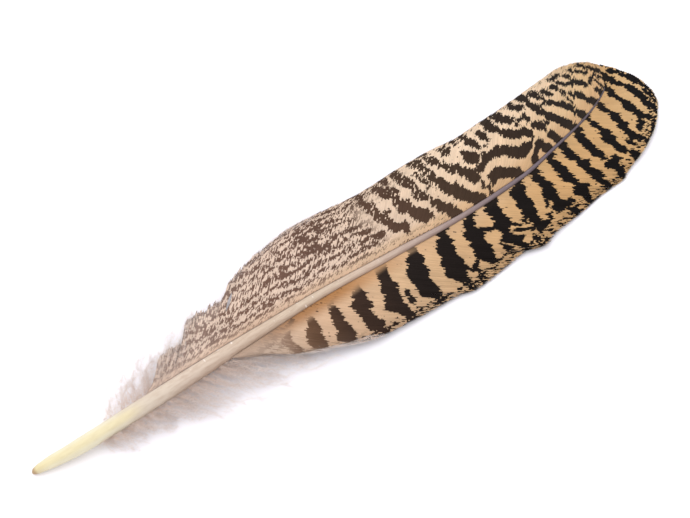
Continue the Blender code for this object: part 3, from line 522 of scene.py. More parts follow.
class Painter:
    """Short calls for wiring the nodes of one material."""

    def __init__(self, name: str) -> None:
        """Start a material with one Principled shader."""
        self.material = bpy.data.materials.new(name)
        self.material.use_nodes = True
        self.nodes = self.material.node_tree.nodes
        self.shader = self.nodes["Principled BSDF"]

    def add(self, kind: str, inputs: dict, **settings: object) -> bpy.types.Node:
        """Add a node.

        Args:
            kind: The node's type.
            inputs: What each input socket gets: a plain value or another node's output.
            **settings: The node's own settings.

        Returns:
            The new node.
        """
        node = self.nodes.new(kind)
        for setting, value in settings.items():
            setattr(node, setting, value)
        for socket, value in inputs.items():
            self.plug(node.inputs[socket], value)
        return node

    def plug(self, socket: bpy.types.NodeSocket, value: object) -> None:
        """Link a socket to another node's output, or set it to a plain value."""
        if isinstance(value, bpy.types.NodeSocket):
            self.material.node_tree.links.new(value, socket)
        else:
            socket.default_value = value

    def mark(self, name: str, output: str = "Fac") -> bpy.types.NodeSocket:
        """A value that the mesh carries."""
        return self.add("ShaderNodeAttribute", {}, attribute_name=name).outputs[output]

    def parts(self, vector: bpy.types.NodeSocket) -> list[bpy.types.NodeSocket]:
        """X, Y and Z of a vector."""
        return list(self.add("ShaderNodeSeparateXYZ", {0: vector}).outputs)

    def join(self, x: object, y: object, z: object = 0.0) -> bpy.types.NodeSocket:
        """A vector of three numbers."""
        return self.add("ShaderNodeCombineXYZ", {0: x, 1: y, 2: z}).outputs[0]

    def maths(self, operation: str, *values: object) -> bpy.types.NodeSocket:
        """One step of arithmetic."""
        return self.add("ShaderNodeMath", dict(enumerate(values)), operation=operation).outputs[0]

    def times(self, first: object, second: object) -> bpy.types.NodeSocket:
        """The product of two numbers."""
        return self.maths("MULTIPLY", first, second)

    def stretch(self, first: object, second: object, scales: tuple) -> bpy.types.NodeSocket:
        """A place for noise: two coordinates, each with its own scale, and a fixed third one."""
        across, along, third = scales
        return self.join(self.times(first, across), self.times(second, along), third)

    def grey(self, tone: object) -> bpy.types.NodeSocket:
        """A grey of the given tone."""
        return self.join(tone, tone, tone)

    def noise(self, vector: bpy.types.NodeSocket, scale: float, detail: float = 2.0,
              roughness: float = 0.5) -> bpy.types.NodeSocket:
        """Smooth noise from 0 to 1."""
        inputs = {"Vector": vector, "Scale": scale, "Detail": detail, "Roughness": roughness}
        return self.add("ShaderNodeTexNoise", inputs).outputs["Fac"]

    def step(self, value: object, low: float, high: float, start: float = 0.0,
             end: float = 1.0) -> bpy.types.NodeSocket:
        """A smooth step from start, where value is low, to end, where it is high."""
        inputs = {"Value": value, "From Min": low, "From Max": high, "To Min": start, "To Max": end}
        return self.add("ShaderNodeMapRange", inputs, interpolation_type="SMOOTHSTEP").outputs[0]

    def ramp(self, value: object, low: float, high: float, stops: tuple) -> bpy.types.NodeSocket:
        """Colours along a value.

        Args:
            value: The value to read.
            low: The value's lowest stop.
            high: Its highest stop.
            stops: Each stop's value and its colour as seen.

        Returns:
            The colour.
        """
        share = self.add("ShaderNodeMapRange", {"Value": value, "From Min": low, "From Max": high}).outputs[0]
        node = self.add("ShaderNodeValToRGB", {0: share})
        elements = node.color_ramp.elements
        while len(elements) < len(stops):
            elements.new(0.5)
        for element, (place, colour) in zip(elements, stops):
            element.position = (place - low) / (high - low)
            element.color = linear(*colour)
        return node.outputs["Color"]

    def mix(self, share: object, first: object, second: object, blend: str = "MIX") -> bpy.types.NodeSocket:
        """Blend two colours by a share."""
        inputs = {0: share, 6: first, 7: second}
        return self.add("ShaderNodeMix", inputs, data_type="RGBA", blend_type=blend).outputs[2]

    def finish(self, colour: bpy.types.NodeSocket, bump: tuple | None = None,
               **shading: object) -> bpy.types.Material:
        """Wire the shader.

        Args:
            colour: Base colour.
            bump: A height, its strength and its depth in millimetres.
            **shading: The shader's other inputs, by name with _ for a space.

        Returns:
            The material.
        """
        self.plug(self.shader.inputs["Base Color"], colour)
        for name, value in shading.items():
            self.plug(self.shader.inputs[name.replace("_", " ")], value)
        if bump:
            height, strength, depth = bump
            inputs = {"Height": height, "Strength": strength, "Distance": depth * MM}
            self.plug(self.shader.inputs["Normal"], self.add("ShaderNodeBump", inputs).outputs[0])
        return self.material


@dataclass(frozen=True)
class ShaftFinish:
    """Horn of the quill and the shaft, from ivory through beige to grey.

    A fade is where a change starts and ends, in millimetres along the shaft, then its share there where that
    isn't 0 and 1. A stripe is its middle as a share of the turn, then half its core and half its reach.
    """

    slot: str = "shaft_keratin"
    length: float = 290
    tones: tuple = (
        (0, (205, 190, 150)), (5, (224, 216, 184)), (25, (224, 217, 190)), (42, (208, 194, 176)),
        (62, (206, 188, 171)), (90, (200, 179, 159)), (115, (202, 183, 162)), (142, (197, 175, 157)),
        (158, (182, 161, 148)), (180, (155, 136, 131)), (205, (124, 110, 114)), (240, (106, 95, 104)),
        (290, (92, 82, 88)),
    )
    yellow: tuple = (224, 208, 156)
    brown: tuple = (150, 112, 84)
    # Dark tone for the grain streaks, and for the painted shading on the shaft's outer side
    grain_and_painted_shading: tuple = (196, 172, 156)
    # Painted highlight: pale glints on small cross ridges along the shaft
    ridge_glint: tuple = (252, 244, 236)
    yellow_stripe: tuple = (0.3, 0.03, 0.14)
    yellow_fade: tuple = (35, 45, 1.0, 0.0)
    yellow_share: float = 0.5
    # Painted shading: a darker stripe along the shaft's outer side, the side turned from the lamp
    shaded_stripe: tuple = (0.52, 0.05, 0.24)
    shaded_fade: tuple = (40, 70, 0.0, 0.45)
    seam_stripe: tuple = (0.62, 0.02, 0.1)
    seam_fade: tuple = (40, 65, 0.0, 0.5)
    grain_scales: tuple = (0.12, 9.0, 0.0)
    grain_noise: tuple = (2.0, 4.0, 0.6)
    streak_edge: tuple = (0.35, 0.75)
    streak_fade: tuple = (35, 60, 0.15, 0.4)
    tick_scales: tuple = (0.75, 3.0, 4.0)
    tick_noise: tuple = (1.0, 1.0, 0.4)
    tick_edge: tuple = (0.7, 0.76)
    tick_start: tuple = (55, 70)
    tick_end: tuple = (110, 130, 1.0, 0.2)
    tick_share: float = 0.6
    # Browner over the quill's blunt end, round its pit
    browner_quill_end: tuple = (0.2, 1.8, 0.7, 0.0)
    relief: float = 0.2
    relief_depth: float = 0.1
    roughness: float = 0.5
    gloss: float = 0.25

    def make(self) -> bpy.types.Material:
        """Build the material."""
        paint = Painter("shaft_horn")
        station, turn, _ = paint.parts(paint.mark("horn", "Vector"))
        base = paint.ramp(station, 0, self.length, self.tones)
        grain = paint.noise(paint.stretch(station, turn, self.grain_scales), *self.grain_noise)
        stripe = self.stripe(paint, turn, self.yellow_stripe, paint.step(station, *self.yellow_fade))
        base = paint.mix(paint.times(stripe, self.yellow_share), base, linear(*self.yellow))
        streaks = paint.times(paint.step(grain, *self.streak_edge), paint.step(station, *self.streak_fade))
        base = paint.mix(streaks, base, linear(*self.grain_and_painted_shading), "MULTIPLY")
        # Painted shading: the shaft's outer side, turned from the lamp, is darkened in its colour
        shaded = self.stripe(paint, turn, self.shaded_stripe, paint.step(station, *self.shaded_fade))
        base = paint.mix(shaded, base, linear(*self.grain_and_painted_shading), "MULTIPLY")
        seam = self.stripe(paint, turn, self.seam_stripe, paint.step(station, *self.seam_fade))
        base = paint.mix(seam, base, linear(*self.brown))
        # Painted highlight: small cross ridges on the shaft, drawn as pale glints in its colour over a
        # stretch of it
        place = paint.stretch(station, turn, self.tick_scales)
        ticks = paint.step(paint.noise(place, *self.tick_noise), *self.tick_edge)
        glint_span = paint.times(paint.step(station, *self.tick_start), paint.step(station, *self.tick_end))
        ticks = paint.times(ticks, paint.times(glint_span, self.tick_share))
        base = paint.mix(ticks, base, linear(*self.ridge_glint))
        # Browner over the quill's blunt end, round its pit
        base = paint.mix(paint.step(station, *self.browner_quill_end), base, linear(*self.brown))
        return paint.finish(base, (grain, self.relief, self.relief_depth), Roughness=self.roughness,
                            Specular_IOR_Level=self.gloss)

    @staticmethod
    def stripe(paint: Painter, turn: object, shape: tuple, strength: object) -> bpy.types.NodeSocket:
        """A lengthwise stripe with soft sides.

        Args:
            paint: The material's painter.
            turn: Place round the shaft, as a share of the turn.
            shape: The stripe's middle, then half its core and half its reach.
            strength: Its share along the shaft.

        Returns:
            How much of the stripe covers a place.
        """
        middle, core, reach = shape
        away = paint.maths("ABSOLUTE", paint.maths("SUBTRACT", turn, middle))
        return paint.times(paint.step(away, core, reach, 1.0, 0.0), strength)


@dataclass(frozen=True)
class VaneFinish:
    """Colours and small marks of one vane.

    Colours of a ramp stand beside their x along the feather. A fade is where a change starts and ends, then
    its share there where that isn't 0 and 1. It runs along the feather or away from the shaft in millimetres,
    or towards the vane's edge as a share of the barb. A lane scales noise across the barbs and along them.
    """

    slot: str
    name: str
    ground: tuple
    ground_near_shaft: tuple
    dark: tuple
    wash: tuple
    wash_stops: tuple
    speckle_end: float
    strip_start: float
    strip_share: float
    fray: tuple
    fade_end: float
    break_up: tuple
    edge_dark: float
    edge_pale: float
    cream: tuple = (238, 216, 192)
    fringe: tuple = (236, 224, 186)
    first: float = 40
    last: float = 300
    near_shaft: tuple = (3.0, 9.0, 1.0, 0.0)
    cream_side: tuple = (8.0, 28.0, 0.0)
    cream_along: tuple = (150, 190)
    soft_speckles: tuple = (2.5, 7.0, 0.45, 0.0)
    soft_bars: tuple = (1.0, 5.0, 0.012, 0.0)
    fringe_side: tuple = (0.965, 0.985)
    fringe_along: tuple = (230, 262, 0.0, 0.85)
    mottle_noise: tuple = (0.12, 3.0)
    mottle_tones: tuple = (0.3, 0.7, 0.9, 1.0)
    barb_tones: float = 0.12
    wash_side: tuple = (0.4, 1.0)
    wash_length: float = 60
    speckle_blend: float = 6
    speckle_edge: tuple = (-0.24, 0.24)
    sparse_edge: tuple = (-0.05, 0.3)
    sparse_blend: tuple = (12, 34)
    sparse_near_shaft: tuple = (2.5, 6.0, 1.0, 0.0)
    sparse_side: tuple = (0.55, 0.8)
    streak_noise: tuple = (1.0, 2.0, 0.6)
    bar_lane: tuple = (1.2, 0.5, 3.0)
    bar_edge: tuple = (-0.5, -0.08)
    bar_side: tuple = (0.5, 0.9, 0.0)
    bar_clearance: tuple = (125, 150, 4.0, 0.6)
    bar_fade: float = 4.0
    bar_fade_length: float = 25
    fleck_noise: tuple = (1.0, 1.0, 0.5)
    pale_lane: tuple = (0.95, 0.36, 17.0)
    pale_edge: tuple = (0.58, 0.64)
    pale_width: float = 0.3
    pale_along: tuple = (170, 220, 1.0, 0.25)
    speckle_lane: tuple = (1.2, 0.4, 5.0)
    speckle_layer: float = 7.0
    warp_noise: tuple = (0.1, 2.0)
    warp_share: float = 2.4
    waves_per_mm: float = 0.19
    wave_share: float = 0.3
    blotch_noise: tuple = (0.24, 2.0)
    blotch_share: float = 1.2
    streak_share: float = 4.4
    paler_near_shaft: tuple = (2.0, 6.0, 0.36, 0.0)
    darker_on_bars: tuple = (-0.6, 0.4, 0.0, 0.4)
    fleck_lane: tuple = (0.75, 0.32, 11.0)
    fleck_edge: tuple = (0.7, 0.74)
    strip_width: float = 0.1
    strip_along: tuple = (106, 120)
    roughness: float = 0.7
    gloss: float = 0.06

    def make(self) -> bpy.types.Material:
        """Build the material."""
        paint = Painter(self.name)
        place = paint.parts(paint.mark("place", "Vector"))
        barb = paint.parts(paint.mark("barb", "Vector"))
        x, y, lateral = place
        share = barb[2]
        speckled = paint.step(x, self.speckle_end - self.speckle_blend,
                              self.speckle_end + self.speckle_blend, 1.0, 0.0)
        ground = paint.ramp(x, self.first, self.last, self.ground)
        near = paint.ramp(x, self.first, self.last, self.ground_near_shaft)
        ground = paint.mix(paint.step(lateral, *self.near_shaft), ground, near)
        pale = paint.times(paint.step(lateral, *self.cream_side, self.edge_pale),
                           paint.step(x, *self.cream_along))
        ground = paint.mix(pale, ground, linear(*self.cream))
        dark = paint.ramp(x, self.first, self.last, self.dark)
        soft = paint.times(paint.step(lateral, *self.soft_speckles), speckled)
        soft = paint.maths("MAXIMUM", soft, paint.step(lateral, *self.soft_bars))
        dark = paint.mix(soft, dark, near)
        colour = paint.mix(self.covered(paint, place, barb, speckled), ground, dark)
        colour = paint.mix(self.washed(paint, x, share), colour, linear(*self.wash))
        rim = paint.times(paint.step(share, *self.fringe_side), paint.step(x, *self.fringe_along))
        colour = paint.mix(rim, colour, linear(*self.fringe))
        mottle = paint.noise(paint.join(x, y), *self.mottle_noise)
        tone = paint.maths("MULTIPLY_ADD", paint.mark("chance"), self.barb_tones,
                           paint.step(mottle, *self.mottle_tones))
        colour = paint.mix(1.0, colour, paint.grey(tone), "MULTIPLY")
        return paint.finish(colour, Roughness=self.roughness, Specular_IOR_Level=self.gloss)

    def covered(self, paint: Painter, place: list, barb: list, speckled: object) -> bpy.types.NodeSocket:
        """How much of the dark covers a place.

        Args:
            paint: The material's painter.
            place: Place along the feather, across it and away from the shaft.
            barb: The barb's root, and the place along it in millimetres and as a share.
            speckled: Share of the speckled stretch at the vane's base.

        Returns:
            A share from 0 to 1.
        """
        x, _, lateral = place
        dashes = self.speckle(paint, place, barb)
        ends = paint.maths("MAXIMUM", paint.step(lateral, *self.sparse_near_shaft),
                           paint.step(barb[2], *self.sparse_side))
        start, end = self.sparse_blend
        beyond = paint.step(x, self.speckle_end + start, self.speckle_end + end, 1.0, 0.0)
        sparse = paint.times(paint.step(dashes, *self.sparse_edge), paint.times(ends, beyond))
        bars = paint.maths("MAXIMUM", self.bars(paint, place, barb), sparse)
        more = paint.maths("SUBTRACT", paint.step(dashes, *self.speckle_edge), bars)
        marks = paint.maths("MULTIPLY_ADD", speckled, more, bars)
        return paint.maths("MAXIMUM", marks, self.flecks(paint, place, barb))

    def washed(self, paint: Painter, x: object, share: object) -> bpy.types.NodeSocket:
        """How far the marks are washed out, which is most at the base and at the edge."""
        start, end, base, edge, edge_end = self.wash_stops
        whole = paint.step(x, start, end, base, 0.0)
        border = paint.times(paint.step(share, *self.wash_side),
                             paint.step(x, edge_end - self.wash_length, edge_end, edge, 0.0))
        return paint.maths("MAXIMUM", whole, border)

    def streak(self, paint: Painter, barb: list, lane: tuple) -> bpy.types.NodeSocket:
        """Noise drawn out along the barbs, from -0.5 to 0.5."""
        return paint.maths("SUBTRACT", paint.noise(paint.stretch(*barb[:2], lane), *self.streak_noise), 0.5)

    def bars(self, paint: Painter, place: list, barb: list) -> bpy.types.NodeSocket:
        """How much of a dark bar covers a place."""
        x, _, lateral = place
        share = barb[2]
        inner, outer = self.fray
        gain = paint.maths("MULTIPLY_ADD", paint.times(share, share), outer - inner, inner)
        streak = self.streak(paint, barb, self.bar_lane)
        ragged = paint.maths("MULTIPLY_ADD", streak, gain, paint.mark("marking"))
        ragged = paint.maths("SUBTRACT", ragged, self.pale_flecks(paint, place, barb))
        ragged = paint.maths("ADD", ragged, paint.step(share, *self.bar_side, self.edge_dark))
        clear = paint.step(x, *self.bar_clearance)
        fade = paint.step(paint.maths("SUBTRACT", lateral, clear), 0.0, self.bar_fade)
        whole = paint.step(x, self.fade_end - self.bar_fade_length, self.fade_end)
        return paint.times(paint.step(ragged, *self.bar_edge), paint.maths("MAXIMUM", fade, whole))

    def pale_flecks(self, paint: Painter, place: list, barb: list) -> bpy.types.NodeSocket:
        """Short pale strokes that break the bars up, mostly towards the vane's base and its edge."""
        lane = paint.stretch(*barb[:2], self.pale_lane)
        strokes = paint.step(paint.noise(lane, *self.fleck_noise), *self.pale_edge)
        start, low, high = self.break_up
        amount = paint.times(paint.step(barb[2], start, start + self.pale_width, low, high),
                             paint.step(place[0], *self.pale_along))
        return paint.times(strokes, amount)

    def speckle(self, paint: Painter, place: list, barb: list) -> bpy.types.NodeSocket:
        """Fine wavy dashes, one barb wide: above 0 where they are dark."""
        x, y, lateral = place
        streak = self.streak(paint, barb, self.speckle_lane)
        flat = paint.join(x, y, self.speckle_layer)
        warp = paint.times(paint.noise(flat, *self.warp_noise), self.warp_share)
        phase = paint.maths("MULTIPLY_ADD", barb[1], self.waves_per_mm, warp)
        wave = paint.maths("SINE", paint.times(phase, math.tau))
        blotch = paint.maths("SUBTRACT", paint.noise(flat, *self.blotch_noise), 0.5)
        value = paint.maths("MULTIPLY_ADD", blotch, self.blotch_share, paint.times(wave, self.wave_share))
        value = paint.maths("MULTIPLY_ADD", streak, self.streak_share, value)
        value = paint.maths("SUBTRACT", value, paint.step(lateral, *self.paler_near_shaft))
        return paint.maths("ADD", value, paint.step(paint.mark("marking"), *self.darker_on_bars))

    def flecks(self, paint: Painter, place: list, barb: list) -> bpy.types.NodeSocket:
        """Small dark dots, which crowd together in a strip along the vane's edge."""
        fleck = paint.noise(paint.stretch(*barb[:2], self.fleck_lane), *self.fleck_noise)
        strip = paint.step(barb[2], self.strip_start, self.strip_start + self.strip_width, 0.0,
                           self.strip_share)
        strip = paint.times(strip, paint.step(place[0], *self.strip_along))
        return paint.step(paint.maths("ADD", fleck, strip), *self.fleck_edge)


@dataclass(frozen=True)
class DownFinish:
    """Pale beige down, warmer at its roots."""

    slot: str = "down_fluff"
    root_tone: tuple = (246, 222, 206)
    tip_tone: tuple = (246, 232, 224)
    change: tuple = (0.0, 0.7)
    darkest: float = 0.88
    thread_tones: float = 0.14
    roughness: float = 0.8
    gloss: float = 0.1
    sheen: float = 0.3

    def make(self) -> bpy.types.Material:
        """Build the material."""
        paint = Painter("down_thread")
        share, chance, _ = paint.parts(paint.mark("thread", "Vector"))
        colour = paint.mix(paint.step(share, *self.change), linear(*self.root_tone), linear(*self.tip_tone))
        tone = paint.maths("MULTIPLY_ADD", chance, self.thread_tones, self.darkest)
        colour = paint.mix(1.0, colour, paint.grey(tone), "MULTIPLY")
        return paint.finish(colour, Roughness=self.roughness, Specular_IOR_Level=self.gloss,
                            Sheen_Weight=self.sheen)


@dataclass
class Shaft:
    """Quill and shaft: one tapered rod with the small pit at the quill's blunt tip."""

    finish: ShaftFinish
    name: str = "quill_and_shaft"
    rings: int = 240
    sides: int = 32
    ring_crowding: float = 1.35
    pit_depth: float = 1.6
    pit_rim: float = 0.22
    pit_slope: float = 0.1
    flute_depth: float = 0.04
    flutes: int = 7
    fluted_radius: float = 3.0
    sharp_angle: float = 50

    def ring_points(self) -> np.ndarray:
        """Points of every ring, in millimetres."""
        station = LINE.shaft_end * np.linspace(0, 1, self.rings) ** self.ring_crowding
        centre, ahead, behind = (
            LINE.beside(place, Side.INNER, np.zeros_like(place), np.zeros_like(place))
            for place in (station, station + 1, np.maximum(station - 1, 0)))
        way = unit(ahead - behind)
        across = unit(np.cross(way, (0, 0, 1)))
        up = unit(np.cross(across, way))
        angle = math.tau * np.arange(self.sides) / self.sides
        radius = LINE.radius(station)[:, None] * np.ones(self.sides)
        depth = self.flute_depth * np.clip(radius / self.fluted_radius, 0, 1)
        radius = radius + depth * np.sin(self.flutes * angle)[None] - depth
        return (centre[:, None] + across[:, None] * (radius * np.cos(angle))[..., None]
                + up[:, None] * (radius * np.sin(angle))[..., None])

    def place(self) -> Vector:
        """Move from feather millimetres to the frame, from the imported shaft's lowest corner."""
        low = np.array(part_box("shaft")[0]) / MM
        return Vector(low - self.ring_points().reshape(-1, 3).min(0))

    def build(self, shift: Vector) -> bpy.types.Object:
        """Model the rod and dress it.

        Args:
            shift: Move to the frame, in millimetres.

        Returns:
            The finished piece.
        """
        points = self.ring_points()
        mesh = bmesh.new()
        loops = []
        for ring in points:
            verts = bmesh.ops.create_circle(mesh, segments=self.sides, radius=1)["verts"]
            for vert, point in zip(verts, ring):
                vert.co = (Vector(point) + shift) * MM
            loops.append(verts)
        edges = [list({edge for vert in verts for edge in vert.link_edges}) for verts in loops]
        for near, far in zip(edges, edges[1:]):
            bmesh.ops.bridge_loops(mesh, edges=near + far)
        quill_cap = mesh.faces.new(loops[0])
        mesh.faces.new(loops[-1])
        bmesh.ops.recalc_face_normals(mesh, faces=mesh.faces)
        bmesh.ops.inset_region(mesh, faces=[quill_cap], thickness=self.pit_rim * MM)
        pit = bmesh.ops.extrude_discrete_faces(mesh, faces=[quill_cap])["faces"][0]
        depth = self.pit_depth * MM
        bmesh.ops.translate(mesh, verts=pit.verts, vec=(depth, 0, self.pit_slope * depth))
        data = bpy.data.meshes.new(self.name)
        mesh.to_mesh(data)
        mesh.free()
        data.shade_smooth()
        data.set_sharp_from_angle(angle=math.radians(self.sharp_angle))
        self.mark_horn(data, shift)
        log.info("%s: %d faces", self.name, len(data.polygons))
        return dress(stand(self.name, data), "shaft", self.finish.make())

    def mark_horn(self, data: bpy.types.Mesh, shift: Vector) -> None:
        """Give each point its distance along the shaft and its turn round it.

        Args:
            data: The rod's mesh.
            shift: Move to the frame, in millimetres.
        """
        co = np.empty(len(data.vertices) * 3, np.float32)
        data.vertices.foreach_get("co", co)
        points = co.reshape(-1, 3) / MM - np.array(shift)
        station = np.interp(points[:, 0], LINE.points[:, 0], LINE.stations)
        centre, heading = LINE.plan(station), LINE.heading(station)
        beside = (points[:, 1] - centre[:, 1]) * heading[:, 0]
        turn = np.arctan2(points[:, 2] - LINE.height(station), beside) / math.tau % 1
        layer = data.attributes.new("horn", "FLOAT_VECTOR", "POINT")
        layer.data.foreach_set("vector", np.stack([station, turn, beside], -1).astype(np.float32).ravel())


def threads(name: str, line: np.ndarray, radius: np.ndarray) -> Strands:
    """Three-sided tapered threads along rows of points.

    Args:
        name: Name of the piece.
        line: Points of each thread, the last one its tip.
        radius: Radius at each point but the last.

    Returns:
        The threads.
    """
    way = unit(np.gradient(line, axis=1))[:, :-1]
    level = unit(np.cross(way, ALMOST_UP))
    up = np.cross(level, way)
    rings = [line[:, :-1] + (level * math.cos(angle) + up * math.sin(angle)) * radius[..., None]
             for angle in (0, -math.tau / 3, -2 * math.tau / 3)]
    return Strands(name, np.stack(rings, 2), line[:, -1])


def dress(thing: bpy.types.Object, node: str, material: bpy.types.Material) -> bpy.types.Object:
    """Give a piece its material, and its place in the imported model.

    Args:
        thing: The piece.
        node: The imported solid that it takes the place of.
        material: Its material.

    Returns:
        The same piece.
    """
    thing.data.materials.append(material)
    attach(thing, "root")
    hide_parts(node)
    return thing


@dataclass(frozen=True)
class Tear:
    """A slit where neighbouring barbs have come apart: its middle, half its length and how far it gapes."""

    middle: tuple
    reach: float
    gape: float
    spread: float = 2.5


@dataclass
class Vane:
    """One vane, barb by barb. Each barb is a closed thin blade, ridged above and below."""

    name: str
    node: str
    side: Side
    rows: tuple
    swing: tuple
    markings: Markings
    finish: VaneFinish
    seed: int
    base_swing: tuple = (0.0, 0.0)
    base_end: tuple = (60, 90)
    base_ragged: float = 0.25
    tears: tuple = ()
    pitch: float = 0.58
    rings: int = 48
    camber: float = 1.6
    root_lift: float = 0.25
    gap: float = 0.15
    overlap: float = 0.7
    narrowest: float = 0.07
    widest: float = 0.55
    point_length: float = 0.05
    point_width: float = 0.15
    thinning: float = 0.3
    thinnest: float = 0.35
    ragged: float = 0.02
    ripple: float = 0.1
    ripple_turns: tuple = (0.9, 5.0)
    stray: float = 0.04
    ridge: float = 0.06
    keel: float = 0.06
    shingle: float = 0.03
    jitter: float = 0.34
    jitter_pairs: tuple = (0.5, 0.7, 0.5)
    samples_per_row: int = 200

    def barbs(self) -> np.ndarray:
        """Root station and tip of every barb."""
        rows = np.array(self.rows, float)
        dense = through(rows, np.linspace(0, len(rows) - 1, self.samples_per_row * len(rows)))
        count = int((rows[-1, 0] - rows[0, 0]) / self.pitch)
        stations = np.linspace(rows[0, 0], rows[-1, 0], count)
        return np.stack([np.interp(stations, dense[:, 0], dense[:, column]) for column in range(4)], -1)

    def surface(self, barbs: np.ndarray, share: np.ndarray) -> np.ndarray:
        """Points of the vane's middle surface.

        Args:
            barbs: Root station and tip of each barb.
            share: Places along each barb, 0 at the shaft and 1 at the tip, one row a barb.

        Returns:
            One point for each barb and place.
        """
        station = barbs[:, 0]
        radius = LINE.radius(station)
        root = LINE.beside(station, self.side, radius + self.gap * (radius > 0), self.root_lift * radius)
        along = LINE.heading(station)
        across = self.side.value * np.stack([-along[:, 1], along[:, 0]], -1)
        reach = barbs[:, 1:3] - root[:, :2]
        forward = (reach * along).sum(-1)[:, None] * share
        start, end = self.base_end
        base = np.clip((end - station) / (end - start), 0, 1)[:, None]
        fast, lazy = (usual + base * (low - usual) for usual, low in zip(self.swing, self.base_swing))
        sideways = (reach * across).sum(-1)[:, None] * (
            share + fast * share * (1 - share) - lazy / math.tau * np.sin(math.tau * share))
        level = root[:, None, :2] + along[:, None] * forward[..., None]
        level = level + across[:, None] * sideways[..., None]
        height = root[:, 2:3] + (barbs[:, 3:4] - root[:, 2:3]) * np.clip(share, 0, None) ** self.camber
        return np.concatenate([level, height[..., None]], -1)

    def open_tears(self, points: np.ndarray, level: np.ndarray) -> np.ndarray:
        """Move the barbs beside each tear apart.

        Args:
            points: The barbs' middle points.
            level: Unit vectors level and square to the barbs.

        Returns:
            The points with the tears open.
        """
        moved = points.copy()
        for tear in self.tears:
            away = points[..., :2] - np.array(tear.middle)
            place = np.unravel_index(np.argmin((away**2).sum(-1)), away.shape[:2])
            way = unit(points[place[0], place[1] + 1] - points[place[0], place[1]])[:2]
            number = np.arange(len(points))[:, None] - place[0] - 0.5
            bump = np.clip(1 - ((away * way).sum(-1) / tear.reach) ** 2, 0, None)
            side = np.sign(number) * np.exp(-np.abs(number) / tear.spread)
            moved += level * (tear.gape / 2 * side * bump)[..., None]
        return moved

    def build(self, shift: Vector) -> bpy.types.Object:
        """Model the barbs and dress them.

        Args:
            shift: Move to the frame, in millimetres.

        Returns:
            The finished piece.
        """
        random = np.random.default_rng(self.seed)
        barbs = self.barbs()
        count = len(barbs)
        place = np.linspace(0, 1, self.rings + 1)
        ragged = np.interp(barbs[:, :1], (barbs[0, 0], self.base_end[1]), (self.base_ragged, self.ragged))
        share = place[None] * (1 - random.random((count, 1)) ** 2 * ragged)
        points = self.surface(barbs, share)
        across, along = self.ripple_turns
        ripple = self.ripple * np.sin(barbs[:, :1] * across + along * place)
        ripple = ripple + self.stray * random.normal(size=(count, 1))
        points[..., 2] += ripple * place
        way = unit(np.gradient(points, axis=1))
        level = unit(np.cross((0, 0, 1), way)) * -self.side.value
        up = unit(np.cross(way, level))
        up = np.where(up[..., 2:] < 0, -up, up)
        spacing = np.abs((np.gradient(points, axis=0) * level).sum(-1))
        taper = np.clip((1 - place) / self.point_length, self.point_width, 1)[None]
        half = np.clip(spacing * self.overlap, self.narrowest, self.widest) * taper
        thin = np.clip((1 - place) / self.thinning, self.thinnest, 1)[None, :, None]
        points = self.open_tears(points, level)
        near = points - level * half[..., None] - up * self.shingle
        far = points + level * half[..., None] + up * self.shingle
        top = points + up * self.ridge * thin
        bottom = points - up * self.keel * thin
        around = [near, bottom, far, top] if self.side is Side.INNER else [near, top, far, bottom]
        strands = Strands(self.name, np.stack(around, 2)[:, :-1], points[:, -1])
        thing = strands.build(shift, self.marks(strands, barbs, share, points, random))
        return dress(thing, self.node, self.finish.make())

    def marks(self, strands: Strands, barbs: np.ndarray, share: np.ndarray, points: np.ndarray,
              random: np.random.Generator) -> dict[str, np.ndarray]:
        """Values that the material reads.

        Args:
            strands: The barbs.
            barbs: Root station and tip of each barb.
            share: Places along each barb.
            points: The barbs' middle points.
            random: Source of chance.

        Returns:
            The values by name.
        """
        count = len(barbs)
        length = np.linalg.norm(points[:, -1] - points[:, 0], axis=-1)[:, None]
        pairs = np.convolve(random.normal(size=count), self.jitter_pairs, "same")
        slip = self.jitter * (random.normal(size=count) + pairs)[:, None] / np.maximum(length, 1)
        seen = self.surface(barbs, share + slip)
        edge = np.concatenate([barbs[:, 1:3], points[:, 0, :2]])
        root = np.broadcast_to(barbs[:, :1], share.shape)
        values = {
            "marking": self.markings.depth(seen[..., 0], seen[..., 1], edge)[..., None],
            "place": np.stack([seen[..., 0], seen[..., 1], LINE.lateral(points)], -1),
            "barb": np.stack([root, share * length, share], -1),
            "chance": np.broadcast_to(random.random((count, 1)), share.shape)[..., None],
        }
        return {name: strands.spread(value[:, :-1], value[:, -1]) for name, value in values.items()}


